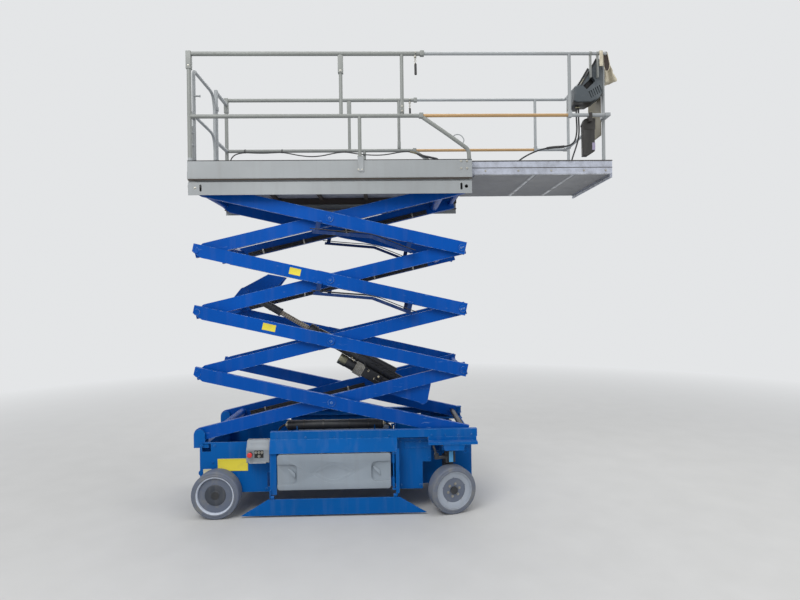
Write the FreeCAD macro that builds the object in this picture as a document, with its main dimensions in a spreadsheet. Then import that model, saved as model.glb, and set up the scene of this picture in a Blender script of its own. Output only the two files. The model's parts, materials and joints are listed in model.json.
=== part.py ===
import FreeCAD, Part
import math
import os
import types
import Sketcher

# Electric scissor lift in its raised rest pose. +X is the steered front end, +Z is up.
# Sub-parts are laid out from the middle of the wheelbase and then shifted by axleMiddle.

os.makedirs("parts", exist_ok=True)
doc = FreeCAD.newDocument("scissorLift")
Vector = FreeCAD.Vector
Rotation = FreeCAD.Rotation

driving = (
    # wheels and steering
    ("wheelbase", 2090), ("wheelRadius", 210), ("tyreWidth", 127), ("trackHalf", 521.5),
    ("rimRadius", 168), ("rimWall", 12), ("hubRadius", 72), ("recessRadius", 104), ("capRadius", 93),
    ("spindleRadius", 25), ("lugCircle", 118), ("lugHoleRadius", 9), ("axleRadius", 35), ("flangeRadius", 75),
    ("kingpinY", 476.5), ("kingpinRadius", 22), ("steerArm", 130), ("steerAngle", 17),
    ("motorRadius", 78),
    # chassis
    ("frameRear", 1215), ("noseReach", 225), ("frameLow", 195), ("frameTop", 650),
    ("frameSide", 452), ("plate", 8), ("spineHalf", 300), ("bayHalf", 568), ("noseHalf", 315),
    ("skirtSide", 540), ("sillOut", 566), ("shelfSide", 600), ("channelSide", 530), ("channelDepth", 48),
    ("channelWall", 6), ("channelRear", 565), ("channelReach", 245), ("archReach", 245), ("panelReach", 167),
    ("shelfReach", 197),
    ("lugRadius", 28), ("lugHole", 11), ("lugThick", 10), ("frontLugReach", 140), ("frontLugY", 515),
    ("frontLugZ", 551), ("rearLugX", 1240), ("rearLugY", 340), ("rearLugZ", 340),
    # scissor
    ("armLength", 2468), ("stageRise", 557), ("armDepth", 115), ("armWall", 40), ("armSheet", 5),
    ("armEnd", 34), ("chamferRise", 42), ("chamferRun", 92),
    ("innerArmY", 375), ("outerArmY", 430), ("pinRadius", 25), ("pinX", 1221), ("lowPinZ", 716),
    ("rollerRadius", 27), ("channelGap", 56), ("running", 0.08),
    # lift cylinder
    ("cylinderFootX", 815), ("cylinderFootZ", 994), ("cylinderEyeX", 903), ("cylinderEyeZ", 2014),
    ("barrelRadius", 48), ("barrelEnd", 1264), ("rodRadius", 24), ("footRadius", 30),
    # platform
    ("platformRear", 1251), ("platformFront", 1267), ("platformSide", 573), ("deckTop", 3040),
    ("deckSheet", 4), ("beamBottom", 2865), ("beamSide", 565), ("toeLow", 3006), ("toeTop", 3168),
    ("toeSheet", 4), ("railY", 555), ("railX", 1233), ("railRadius", 19), ("topRailZ", 4118),
    ("midRailZ", 3563), ("railEnd", 835), ("innerRail", 15),
    ("railCable", 6), ("controlCable", 7),
    # platform extension
    ("extensionFront", 2560), ("extensionLow", 3046), ("extensionSide", 510), ("extensionStart", 1190),
    ("innerRailStart", 300), ("frontRailX", 2500), ("extensionPostX", 2160),
    # side modules and guards
    ("trayRear", 470), ("trayFront", 500), ("trayInner", 340), ("trayOuter", 528), ("trayLow", 232),
    ("coverRear", 500), ("coverFront", 508), ("coverLow", 239), ("coverTop", 555), ("coverSide", 560),
    ("hingeX", 535), ("hingeY", 548), ("guardLow", 18), ("guardHinge", 178), ("guardY", 555),
    ("guardTip", 825), ("guardShoulder", 583), ("guardSheet", 10),
    # reach of the whole lift
    ("rearReach", 1280), ("frontReach", 2640),
)

sheet = doc.addObject("Spreadsheet::Sheet", "Sizes")
for row, (alias, number) in enumerate(driving, 1):
    sheet.set(f"A{row}", alias)
    sheet.set(f"B{row}", str(number))
    sheet.setAlias(f"B{row}", alias)
doc.recompute()


class Term:
    # A length with the sheet expression that gives it.
    def __init__(self, value, text=None):
        self.value = float(value)
        self.text = text or f"({float(value):.9g})"

    def __add__(self, other):
        other = term(other)
        return Term(self.value + other.value, f"({self.text} + {other.text})")

    def __sub__(self, other):
        other = term(other)
        return Term(self.value - other.value, f"({self.text} - {other.text})")

    def __mul__(self, factor):
        return Term(self.value * factor, f"({self.text} * {factor:.12g})")

    def __truediv__(self, factor):
        return Term(self.value / factor, f"({self.text} / {factor:.12g})")

    def __neg__(self):
        return Term(-self.value, f"(0 - {self.text})")

    def __radd__(self, other):
        return term(other) + self

    def __rsub__(self, other):
        return term(other) - self

    __rmul__ = __mul__


def term(value):
    return value if isinstance(value, Term) else Term(value)


size = types.SimpleNamespace(**{alias: Term(number, f"Sizes.{alias}") for alias, number in driving})


def bind(thing, name, value):
    thing.setExpression(name, term(value).text)


def setBase(thing, x, y, z):
    bind(thing, "Placement.Base.x", x)
    bind(thing, "Placement.Base.y", y)
    bind(thing, "Placement.Base.z", z)


def sided(side, low, high):
    # The span low to high on the +Y side, or its mirror image on the -Y side.
    return (term(low), term(high)) if side > 0 else (-term(high), -term(low))


def both(half):
    return (-term(half), term(half))


def box(x, y, z):
    piece = doc.addObject("Part::Box", "box")
    for name, (low, high) in (("Length", x), ("Width", y), ("Height", z)):
        bind(piece, name, term(high) - low)
    setBase(piece, x[0], y[0], z[0])
    return piece


turns = {
    "x": Rotation(Vector(0, 1, 0), 90),
    "y": Rotation(Vector(1, 0, 0), -90),
    "z": Rotation(),
}


def rod(radius, x, y, z):
    # A round bar along the one axis that is given as a (low, high) span.
    piece = doc.addObject("Part::Cylinder", "rod")
    spans = {"x": x, "y": y, "z": z}
    axis = [name for name, span in spans.items() if isinstance(span, tuple)][0]
    low, high = spans[axis]
    bind(piece, "Radius", radius)
    bind(piece, "Height", term(high) - low)
    piece.Placement = FreeCAD.Placement(Vector(), turns[axis])
    setBase(piece, *[span[0] if isinstance(span, tuple) else span for span in (x, y, z)])
    return piece


def fuse(*pieces):
    joined = doc.addObject("Part::MultiFuse", "fuse")
    joined.Shapes = list(pieces)
    joined.Refine = False
    return joined


def cut(base, *tools):
    tool = tools[0] if len(tools) == 1 else fuse(*tools)
    left = doc.addObject("Part::Cut", "cut")
    left.Base = base
    left.Tool = tool
    left.Refine = False
    return left


def outlined(plane, points):
    # A body with a closed sketch of sized corners on an origin plane.
    body = doc.addObject("PartDesign::Body", "body")
    sketch = body.newObject("Sketcher::SketchObject", "outline")
    origin = [item for item in body.Origin.OriginFeatures if item.Role == plane][0]
    sketch.AttachmentSupport = [(origin, "")]
    sketch.MapMode = "FlatFace"
    corners = [(term(a), term(b)) for a, b in points]
    places = [Vector(a.value, b.value, 0) for a, b in corners]
    count = len(corners)
    for index in range(count):
        sketch.addGeometry(Part.LineSegment(places[index], places[(index + 1) % count]))
    for index in range(count):
        sketch.addConstraint(Sketcher.Constraint("Coincident", index, 2, (index + 1) % count, 1))
    for index, corner in enumerate(corners):
        for kind, coordinate in zip(("DistanceX", "DistanceY"), corner):
            number = sketch.addConstraint(Sketcher.Constraint(kind, -1, 1, index, 1, coordinate.value))
            sketch.setExpression(f"Constraints[{number}]", coordinate.text)
    return body, sketch


def polygon(plane, points, depth, offset=0):
    # An outline padded evenly to both sides of a place on the plane's normal.
    body, sketch = outlined(plane, points)
    pad = body.newObject("PartDesign::Pad", "pad")
    pad.Profile = sketch
    pad.Midplane = True
    bind(pad, "Length", depth)
    axis = {"XZ_Plane": "y", "YZ_Plane": "x", "XY_Plane": "z"}[plane]
    bind(body, f"Placement.Base.{axis}", offset)
    body.Tip = pad
    return body


def revolved(points):
    # A ring about the Y axis from an outline of (distance along Y, radius) corners.
    body, sketch = outlined("YZ_Plane", points)
    ring = body.newObject("PartDesign::Revolution", "ring")
    ring.Profile = sketch
    ring.ReferenceAxis = (sketch, ["H_Axis"])
    ring.Angle = 360
    body.Tip = ring
    return body


def bar(radius, start, end, y):
    # A round bar in the side view from (x, z) start to end at a lateral place.
    dx, dz = end[0] - start[0], end[1] - start[1]
    piece = doc.addObject("Part::Cylinder", "bar")
    bind(piece, "Radius", radius)
    bind(piece, "Height", math.hypot(dx, dz))
    piece.Placement = FreeCAD.Placement(Vector(), Rotation(Vector(0, 1, 0), math.degrees(math.atan2(dx, dz))))
    setBase(piece, start[0], y, start[1])
    return piece


def ball(radius, x, y, z):
    piece = doc.addObject("Part::Sphere", "ball")
    bind(piece, "Radius", radius)
    setBase(piece, x, y, z)
    return piece


def cordTube(route, radius):
    # A cord along its route's straight runs, joined by tangent arcs as large as the runs allow.
    points = [Vector(*point) for point in route]
    edges, start, tightest = [], points[0], None
    for before, corner, after in zip(points, points[1:], points[2:]):
        arriving, leaving = corner - before, after - corner
        turn = arriving.getAngle(leaving)
        back = 0.45 * min(arriving.Length, leaving.Length)
        arriving.normalize()
        leaving.normalize()
        bend = back / math.tan(turn / 2)
        inward = leaving - arriving
        inward.normalize()
        first, last = corner - arriving * back, corner + leaving * back
        crown = corner + inward * (bend / math.cos(turn / 2) - bend)
        edges += [Part.LineSegment(start, first), Part.Arc(first, crown, last)]
        start = last
        tightest = bend if tightest is None else min(tightest, bend)
    edges.append(Part.LineSegment(start, points[-1]))
    path = Part.Wire([edge.toShape() for edge in edges])
    section = Part.Wire([Part.Circle(points[0], points[1] - points[0], radius.value).toShape()])
    piece = doc.addObject("Part::Feature", "cord")
    piece.Shape = path.makePipeShell([section], True, False)
    share = piece.Shape.Volume / (math.pi * radius.value ** 2 * path.Length)
    print("cord", round(path.Length), "mm, smallest bend", round(tightest), "volume share", round(share, 3))
    return piece


nodes = {}


def node(label, thing, x=0, y=0, z=0, turn=None):
    # Names a finished sub-part and puts it in its place on the lift.
    if turn is not None:
        thing.Placement = FreeCAD.Placement(Vector(), turn)
    setBase(thing, axleMiddle + x, y, z)
    thing.Label = label
    nodes[label] = thing


axleMiddle = (size.rearReach - size.frontReach) / 2
steer = math.radians(size.steerAngle.value)
liftAngle = math.degrees(math.asin(size.stageRise.value / size.armLength.value))
frontAxleX = size.wheelbase / 2
noseFront = frontAxleX + size.noseReach
channelFront = frontAxleX + size.channelReach
archX = frontAxleX - size.archReach
panelX = frontAxleX - size.panelReach
shelfRear = frontAxleX - size.shelfReach
sides = ((-1, "left"), (1, "right"))


# Wheels


def makeTyre():
    half = size.tyreWidth / 2
    shoulder = 14
    return revolved([
        (-half, size.rimRadius), (half, size.rimRadius),
        (half, size.wheelRadius - shoulder), (half - shoulder, size.wheelRadius),
        (shoulder - half, size.wheelRadius), (-half, size.wheelRadius - shoulder),
    ])


def makeRim(front):
    # Rear rims have a closed dust cap, front rims a recess round the hub. The outside is +Y.
    half = size.tyreWidth / 2
    bead = size.rimRadius - size.rimWall
    bore = size.spindleRadius + size.running
    hubOut, hubIn, web, back, dish = 40, 45, 12, 28, 20
    if front:
        outline = [
            (-hubIn, bore), (-hubIn, size.hubRadius), (-back, size.hubRadius), (-back, size.recessRadius),
            (0, size.recessRadius + 8), (dish, bead), (-half, bead), (-half, size.rimRadius),
            (half, size.rimRadius), (half, bead), (dish + web, bead), (web, size.recessRadius),
            (web - back, size.recessRadius - 8), (web - back, size.hubRadius), (hubOut, size.hubRadius - 8),
            (hubOut, bore),
        ]
        return revolved(outline)
    disc = revolved([
        (-hubIn, bore), (-hubIn, size.hubRadius), (0, size.hubRadius), (dish, bead), (-half, bead),
        (-half, size.rimRadius), (half, size.rimRadius), (half, bead), (dish + web, bead),
        (web, size.capRadius), (hubOut, size.capRadius - 4), (hubOut, bore),
    ])
    holes = []
    for index in range(5):
        angle = math.radians(90 + 72 * index)
        holes.append(rod(size.lugHoleRadius, size.lugCircle * math.cos(angle), (-2, dish + web + 2),
                         size.lugCircle * math.sin(angle)))
    return cut(disc, *holes)


def wheelPlace(front, side):
    # The wheel's centre and turn: front wheels stand turned about their kingpins.
    out = size.trackHalf - size.kingpinY
    if not front:
        return -frontAxleX, size.trackHalf * side, Rotation(Vector(0, 0, 1), 90 - 90 * side)
    x = frontAxleX - out * (math.sin(steer) * side)
    y = (size.kingpinY + out * math.cos(steer)) * side
    return x, y, Rotation(Vector(0, 0, 1), 90 - 90 * side + size.steerAngle.value)


for side, hand in sides:
    for front, end in ((False, "rear"), (True, "front")):
        x, y, turn = wheelPlace(front, side)
        node(f"tyre_{end}_{hand}", makeTyre(), x, y, size.wheelRadius, turn)
        node(f"rim_{end}_{hand}", makeRim(front), x, y, size.wheelRadius, turn)


# Axles, knuckles and tie rod

flangeGap = 14
nutThick = 12


def spindle(start, side):
    # Stub shaft with its end nut, from start outwards past the wheel's hub.
    hubFace = 41
    nutRadius = 34
    return [
        rod(size.spindleRadius, 0, sided(side, start, size.trackHalf + hubFace + nutThick), size.wheelRadius),
        rod(nutRadius, 0, sided(side, size.trackHalf + hubFace, size.trackHalf + hubFace + nutThick),
            size.wheelRadius),
    ]


def makeRearAxle():
    pieces = [rod(size.axleRadius, 0, both(size.frameSide), size.wheelRadius)]
    for side, hand in sides:
        pieces.append(rod(size.flangeRadius, 0, sided(side, size.frameSide, size.frameSide + flangeGap),
                          size.wheelRadius))
        pieces += spindle(size.frameSide, side)
    return fuse(*pieces)


node("rear_axle", makeRearAxle(), -frontAxleX)

axleBeamRear, axleBeamFront = 75, 129
axleBeamLow, axleBeamTop, bossTop = 560, 600, 625
bossRadius = 42
shelfInner = 385


def tieDown(side, x, z, lateral, root):
    # An eye plate beside the frame with a hole through it for a transport strap.
    plate = fuse(rod(size.lugRadius, x, lateral, z), box(*root))
    return cut(plate, rod(size.lugHole, x, sided(side, 300, 600), z))


def makeFrontAxle():
    pieces = [box((-axleBeamRear, axleBeamFront), both(size.channelSide), (axleBeamLow, axleBeamTop))]
    for side, hand in sides:
        pieces.append(rod(bossRadius, 0, size.kingpinY * side, (axleBeamTop, bossTop)))
        # transport eye at the beam's front end
        x = size.frontLugReach
        lateral = sided(side, size.frontLugY - size.lugThick, size.frontLugY)
        root = ((x - 45, x), lateral, (size.frontLugZ, axleBeamTop - 1))
        pieces.append(tieDown(side, x, size.frontLugZ, lateral, root))
    beam = fuse(*pieces)
    bores = [rod(size.kingpinRadius + size.running, 0, size.kingpinY * side, (axleBeamLow - 5, bossTop + 5))
             for side, hand in sides]
    return cut(beam, *bores)


node("front_axle", makeFrontAxle(), frontAxleX)


def makeKnuckle(side):
    collarLow, collarTop = 540, axleBeamLow - 0.2
    armLow, armTop = 440, 500
    legHalf, legIn, legOut, legLow = 45, 72, 28, 130
    motorIn = 130
    rodEnd = 11
    wheelOut = size.trackHalf - size.kingpinY
    hubFace, nutRadius = 41, 34
    pieces = [
        rod(size.kingpinRadius, 0, 0, (armLow, bossTop + 6)),
        rod(size.kingpinRadius + 12, 0, 0, (bossTop + 0.3, bossTop + 6)),
        rod(size.kingpinRadius + 20, 0, 0, (collarLow, collarTop)),
        box(both(legHalf), sided(side, -legIn, 25), (armLow, armTop)),
        box(both(legHalf), sided(side, -legIn, -legOut), (legLow, armTop)),
        rod(size.motorRadius, 0, sided(side, -motorIn, -legIn), size.wheelRadius),
        rod(size.flangeRadius, 0, sided(side, -legOut, 4 - legOut + 10), size.wheelRadius),
        rod(size.spindleRadius, 0, sided(side, -legOut, wheelOut + hubFace + nutThick), size.wheelRadius),
        rod(nutRadius, 0, sided(side, wheelOut + hubFace, wheelOut + hubFace + nutThick), size.wheelRadius),
        box((-size.steerArm, 0), both(18), (armTop - 20, armTop)),
        rod(20, -size.steerArm, 0, (armTop - 20, armTop)),
        rod(rodEnd, -size.steerArm, 0, (armTop, armTop + 30)),
    ]
    return fuse(*pieces)


steerTurn = Rotation(Vector(0, 0, 1), size.steerAngle.value)
for side, hand in sides:
    node(f"knuckle_{hand}", makeKnuckle(side), frontAxleX, size.kingpinY * side, 0, steerTurn)

tieRodZ = 513


def makeTieRod():
    pieces = [rod(12, 0, both(size.kingpinY), tieRodZ)]
    for side, hand in sides:
        pieces.append(rod(22, 0, size.kingpinY * side, (tieRodZ - 12, tieRodZ + 12)))
    bores = [rod(size.running + 11, 0, size.kingpinY * side, (tieRodZ - 20, tieRodZ + 20)) for side, hand in sides]
    return cut(fuse(*pieces), *bores)


node("tie_rod", makeTieRod(), frontAxleX - size.steerArm * math.cos(steer), -size.steerArm * math.sin(steer))


# Chassis

postRear, postWidth = 545, 37
lugBase, lugRise = 600, 50
vesselRear, vesselFront, vesselY, vesselZ, vesselRadius = -446, 440, -300, 761, 44
frameInner = size.frameSide - size.plate
channelIn = size.channelSide - size.channelDepth
channelLow = size.lowPinZ - size.channelGap / 2 - size.channelWall
channelTop = size.lowPinZ + size.channelGap / 2 + size.channelWall


def sill(side, top):
    # Plate that slopes outwards from the roller channel to over the module cover.
    thick = 6
    inner, out = size.channelSide - thick, size.sillOut
    low = axleBeamLow + 6
    outline = [(inner * side, top), (size.channelSide * side, top), (out * side, low),
               ((out - thick) * side, low)]
    if side < 0:
        outline.reverse()
    return polygon("YZ_Plane", outline, size.bayHalf * 2)


def rearSide(side):
    # Side plate behind the bay, pivot lugs with the pin of the lowest arm, strap eye and ladder stile.
    pieces = [box((-size.frameRear, -size.bayHalf), sided(side, frameInner, size.frameSide),
                  (size.frameLow, size.frameTop))]
    for low, high in ((345, 365), (425, 445)):
        pieces.append(rod(lugRise, -size.pinX, sided(side, low, high), size.lowPinZ))
        pieces.append(box((-size.pinX - lugRise, -size.pinX + lugRise), sided(side, low, high),
                          (lugBase, size.lowPinZ)))
    pieces.append(rod(size.pinRadius, -size.pinX, sided(side, 345, 445), size.lowPinZ))
    lateral = sided(side, size.rearLugY - size.lugThick, size.rearLugY)
    root = ((-size.rearLugX, -size.frameRear), lateral, (size.rearLugZ - size.lugRadius, size.rearLugZ + 12))
    pieces.append(tieDown(side, -size.rearLugX, size.rearLugZ, lateral, root))
    pieces.append(box((-1275, -size.frameRear), sided(side, 190, 210), (240, 640)))
    return pieces


def makeRearFrame():
    plate = size.plate
    pieces = rearSide(-1) + rearSide(1)
    pieces += [
        box((-size.frameRear, plate - size.frameRear), both(frameInner), (size.frameLow, size.frameTop)),
        box((-size.frameRear, -1120), both(frameInner), (size.frameLow, size.frameLow + plate)),
        box((-970, -size.bayHalf), both(frameInner), (size.frameLow, size.frameLow + plate)),
        box((-size.pinX - lugRise, -1140), both(frameInner), (lugBase, lugBase + 45)),
    ]
    # ladder rungs behind the rear plate
    for z in (270, 420, 570):
        pieces.append(rod(12, -1262, both(195), z))
    axleHole = rod(size.axleRadius + 0.2, -frontAxleX, both(size.frameSide + 10), size.wheelRadius)
    holes = [axleHole]
    for side, hand in sides:
        lateral = sided(side, frameInner - 2, size.frameSide + 2)
        holes.append(box((-1195, -1115), lateral, (566, 640)))
        holes.append(box((-610, -size.bayHalf), lateral, (240, 370)))
    return cut(fuse(*pieces), *holes)


def baySide(side):
    # Bulkhead wings, spine plate, sill, posts and the hinges of the guard and the module tray.
    plate = size.plate
    pieces = [
        box((-size.bayHalf, size.bayHalf), sided(side, size.spineHalf - plate, size.spineHalf),
            (size.frameLow, axleBeamLow)),
        sill(side, channelLow),
        box((-size.bayHalf, postWidth - postRear), sided(side, size.skirtSide - 1, size.skirtSide + 5),
            (size.frameLow, 600)),
        box((size.bayHalf - 15, size.bayHalf + 17), sided(side, size.sillOut - 8, size.sillOut - 2),
            (size.frameLow, 590)),
        box((size.bayHalf - plate, size.bayHalf), sided(side, size.skirtSide - 1, size.sillOut - 3),
            (225, axleBeamLow + 10)),
        rod(7, size.hingeX, size.hingeY * side, (225, axleBeamLow)),
    ]
    for x in (-size.bayHalf, size.bayHalf - plate):
        pieces.append(box((x, x + plate), sided(side, size.spineHalf - plate, size.skirtSide),
                          (size.frameLow, axleBeamTop)))
        pieces.append(box((x, x + plate), sided(side, size.skirtSide - 1, size.sillOut - 3),
                          (axleBeamLow + 8, 585)))
    for low, high in ((225, 240), (545, axleBeamLow)):
        pieces.append(box((size.hingeX - 12, size.bayHalf), sided(side, size.hingeY - 12, size.hingeY + 12),
                          (low, high)))
    for end in (-1, 1):
        x = (size.bayHalf - plate) * end
        lug = (x, x + plate * end) if end > 0 else (x - plate, x)
        pin = (x - 28, x) if end > 0 else (x, x + 28)
        pieces.append(box(lug, sided(side, size.guardY - 12, size.guardY + 12), (size.guardHinge, 240)))
        pieces.append(box(lug, sided(side, size.skirtSide - 1, size.guardY), (210, 240)))
        pieces.append(rod(12, lug, size.guardY * side, size.guardHinge))
        pieces.append(rod(8, pin, size.guardY * side, size.guardHinge))
    return pieces


def makeBayFrame():
    plate = size.plate
    pieces = baySide(-1) + baySide(1)
    pieces.append(box((-size.bayHalf, size.bayHalf), both(size.spineHalf), (size.frameLow, size.frameLow + plate)))
    for x in (-size.bayHalf, size.bayHalf - plate):
        pieces.append(box((x, x + plate), both(size.spineHalf), (size.frameLow, axleBeamLow)))
    # saddles of the oil vessel
    for x in (-360, 360):
        pieces.append(box((x, x + plate), (vesselY - 46, vesselY + 46), (axleBeamLow - 20, vesselZ)))
    return cut(fuse(*pieces), rod(vesselRadius, (-size.bayHalf, size.bayHalf), vesselY, vesselZ))


def noseSide(side):
    # Side panel, nose plate, shelf and skirt by the steered wheel.
    plate = size.plate
    front = channelFront - size.channelWall
    return [
        box((size.bayHalf, archX), sided(side, frameInner, size.frameSide), (size.frameLow, size.frameTop)),
        box((archX, panelX), sided(side, frameInner, size.frameSide), (440, size.frameTop)),
        box((size.bayHalf, noseFront), sided(side, size.noseHalf - plate, size.noseHalf),
            (size.frameLow, axleBeamLow)),
        box((shelfRear, front), sided(side, shelfInner, size.shelfSide), (size.frameTop - plate, size.frameTop)),
        box((shelfRear, front), sided(side, size.shelfSide - 6, size.shelfSide),
            (size.frameTop - 24, size.frameTop)),
        box((shelfRear, front), sided(side, size.channelSide - 6, size.channelSide), (608, channelLow)),
        box((noseFront - plate, noseFront), sided(side, size.noseHalf - plate, size.channelSide),
            (607, size.frameTop)),
    ]


def makeNoseFrame():
    plate = size.plate
    pieces = noseSide(-1) + noseSide(1)
    pieces += [
        box((size.bayHalf, noseFront), both(size.noseHalf), (size.frameLow, size.frameLow + plate)),
        box((noseFront - plate, noseFront), both(size.noseHalf), (150, size.frameTop)),
    ]
    beamHole = box((frontAxleX - axleBeamRear, frontAxleX + axleBeamFront), both(size.channelSide + 10),
                   (axleBeamLow, axleBeamTop))
    # the tie rod crosses the nose behind the axle and moves a little along it as it steers
    rodHole = box((frontAxleX - 155, frontAxleX - axleBeamRear), both(size.noseHalf + 10),
                  (tieRodZ - 17, axleBeamLow + 1))
    return cut(fuse(*pieces), beamHole, rodHole)


def channelWalls(inner, outer, low, high):
    # The same flat wall of both roller channels, over their whole length.
    return fuse(*[box((-size.channelRear, channelFront), sided(side, inner, outer), (low, high))
                  for side, hand in sides])


node("chassis_rear", makeRearFrame())
node("chassis_bay", makeBayFrame())
node("chassis_nose", makeNoseFrame())
webIn = size.channelSide - size.channelWall
node("channel_webs", channelWalls(webIn, size.channelSide, channelLow, channelTop))
node("channel_tracks", channelWalls(channelIn, webIn, channelLow, channelLow + size.channelWall))
node("channel_caps", channelWalls(channelIn, webIn, channelTop - size.channelWall, channelTop))


def makeVessel():
    # A round black vessel with a collar at each end, above the module bay.
    collar = 40
    return fuse(rod(vesselRadius, (vesselRear, vesselFront), vesselY, vesselZ),
                rod(vesselRadius + 4, (vesselRear, vesselRear + collar), vesselY, vesselZ),
                rod(vesselRadius + 4, (vesselFront - collar, vesselFront), vesselY, vesselZ))


node("oil_vessel", makeVessel())


def makeGroundBox():
    inner, front = size.frameSide, 545
    return polygon("YZ_Plane", [(-inner, 486), (-front, 486), (-front, 600), (-500, 677), (-inner, 677)],
                   202)


node("ground_control_box", makeGroundBox(), -673)


# Side modules on swing-out trays and the guards under them


def makeTray(side):
    wall = 6
    pieces = [
        box((-size.trayRear, size.trayFront), sided(side, size.trayInner, size.trayOuter),
            (size.trayLow, size.trayLow + wall)),
        box((-size.trayRear, size.trayFront), sided(side, size.trayInner, size.trayInner + wall),
            (size.trayLow, 420)),
        box((-size.trayRear, wall - size.trayRear), sided(side, size.trayInner, size.trayOuter),
            (size.trayLow, 420)),
        box((size.trayFront - wall, size.trayFront), sided(side, size.trayInner, size.trayOuter),
            (size.trayLow, 540)),
    ]
    for low, high in ((250, 330), (460, 540)):
        pieces.append(box((size.trayFront - wall, size.hingeX + 8), sided(side, 508, 526), (low, high)))
        pieces.append(box((size.hingeX - 12, size.hingeX + 8), sided(side, 520, size.hingeY), (low, high)))
        pieces.append(rod(12, size.hingeX, size.hingeY * side, (low, high)))
    bore = rod(size.running + 7, size.hingeX, size.hingeY * side, (size.trayLow, 560))
    return cut(fuse(*pieces), bore)


def makeCover(side):
    wall, slope = 4, 26
    outline = [
        (-size.coverRear, size.coverLow + slope), (slope - size.coverRear, size.coverLow),
        (size.coverFront - slope, size.coverLow), (size.coverFront, size.coverLow + slope),
        (size.coverFront, size.coverTop), (-size.coverRear, size.coverTop),
    ]
    depth = size.coverSide - size.trayOuter
    shell = polygon("XZ_Plane", outline, depth, (size.trayOuter + depth / 2) * side)
    hollow = box((wall - size.coverRear, size.coverFront - wall), sided(side, size.trayOuter - 5,
                 size.coverSide - wall), (size.coverLow + slope, size.coverTop - wall))
    return cut(shell, hollow)


for side, hand in sides:
    node(f"module_tray_{hand}", makeTray(side))
    node(f"module_cover_{hand}", makeCover(side))
    block = "battery_block" if side < 0 else "hydraulic_block"
    length, width, low = 890, 168, size.trayLow + 6
    inner = sided(side, 352, 352 + width)[0]
    node(block, box((0, length), (0, width), (low, 500)), -430, inner, low)


def makeGuard(side):
    ear = 555
    half = size.guardSheet / 2
    outline = [
        (-size.guardTip, size.guardLow), (size.guardTip, size.guardLow), (size.guardShoulder, 160),
        (-size.guardShoulder, 160),
    ]
    pieces = [polygon("XZ_Plane", outline, size.guardSheet, size.guardY * side)]
    for end in (-1, 1):
        low, high = (-558, -530) if end < 0 else (530, 558)
        pieces.append(rod(14, (low, high), size.guardY * side, size.guardHinge))
        pieces.append(box((low, high), sided(side, size.guardY - half, size.guardY + half), (150, size.guardHinge)))
    bores = [rod(size.running + 8, (-570, -520), size.guardY * side, size.guardHinge),
             rod(size.running + 8, (520, 570), size.guardY * side, size.guardHinge)]
    return cut(fuse(*pieces), *bores)


for side, hand in sides:
    node(f"pothole_guard_{hand}", makeGuard(side))


# Scissor arms. Each pair is laid out along X from its upper or lower left pin at the origin.

capThick = 6


def beamPair(inner, bores, pins, chamferUp, roundEnd=False, lowCut=False):
    # Two box beams, solid at their pins, with bores through them at some pin places. The left
    # end has a long chamfer on one edge, or is round, and the right end is square.
    half = size.armDepth / 2
    end = size.armEnd
    boss = 60
    middle = size.armLength / 2
    hollowSpans = ((boss, middle - boss), (middle + boss, size.armLength - boss))
    up = 1 if chamferUp else -1
    if roundEnd:
        outline = [(0, -half), (0, half), (size.armLength + end, half), (size.armLength + end, -half)]
    else:
        outline = [(-end, -half * up), (-end, (half - size.chamferRise) * up), (size.chamferRun - end, half * up),
                   (size.armLength + end, half * up), (size.armLength + end, -half * up)]
    if lowCut:
        corner = 22
        outline[3:] = [(size.armLength + end - corner, -half), (size.armLength + end, corner - half),
                       (size.armLength + end, half)]
    solid = []
    for side, hand in sides:
        lateral = sided(side, inner, inner + size.armWall)
        beam = polygon("XZ_Plane", outline, size.armWall, (inner + size.armWall / 2) * side)
        inside = sided(side, inner + size.armSheet, inner + size.armWall - size.armSheet)
        hollows = [box((low, high), inside, (size.armSheet - half, half - size.armSheet))
                   for low, high in hollowSpans]
        solid.append(cut(beam, *hollows))
        if roundEnd:
            solid.append(rod(half, 0, lateral, 0))
    return fuse(*(solid + pins)), [rod(size.pinRadius + size.running, x, both(inner + size.armWall + 8), 0)
                                   for x in bores]


def makeInnerArms(stage):
    outerFace = size.outerArmY + size.armWall
    innerFace = size.innerArmY + size.armWall
    middle = size.armLength / 2
    pins = [rod(38, 180, both(size.innerArmY + 5), 0)]
    if stage < 4:
        pins.append(rod(size.pinRadius, size.armLength, both(outerFace + 1 + capThick), 0))
        for side, hand in sides:
            pins.append(rod(32, size.armLength, sided(side, outerFace + 1, outerFace + 1 + capThick), 0))
            pins.append(rod(40, size.armLength, sided(side, innerFace, size.outerArmY - 0.5), 0))
    else:
        pins.append(rod(size.pinRadius, size.armLength, both(outerFace), 0))
        pins.append(rod(20, size.armLength, both(550), 0))
        for side, hand in sides:
            pins.append(rod(size.rollerRadius, size.armLength, sided(side, 505, 550), 0))
    for side, hand in sides:
        pins.append(rod(size.pinRadius, middle, sided(side, innerFace, outerFace + 1 + capThick), 0))
        pins.append(rod(35, middle, sided(side, outerFace + 1, outerFace + 1 + capThick), 0))
        pins.append(rod(40, middle, sided(side, innerFace, size.outerArmY - 0.5), 0))
    if stage == 1:
        pins += footLever()
    else:
        pins.append(rod(38, size.armLength - 180, both(size.innerArmY + 5), 0))
    if stage == 3:
        pins += eyeLever()
    beams, bores = beamPair(size.innerArmY, [0], pins, True, roundEnd=stage == 1)
    return cut(beams, *bores)


def armPoint(x, z, k):
    # A side-view point of the lift as (along, across) in the frame of inner arm pair k + 1.
    angle = math.radians(liftAngle)
    dx = x + size.pinX
    dz = z - size.lowPinZ - size.stageRise * k
    along = dx * math.cos(angle) + dz * math.sin(angle)
    across = dz * math.cos(angle) - dx * math.sin(angle)
    return along, across


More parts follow.
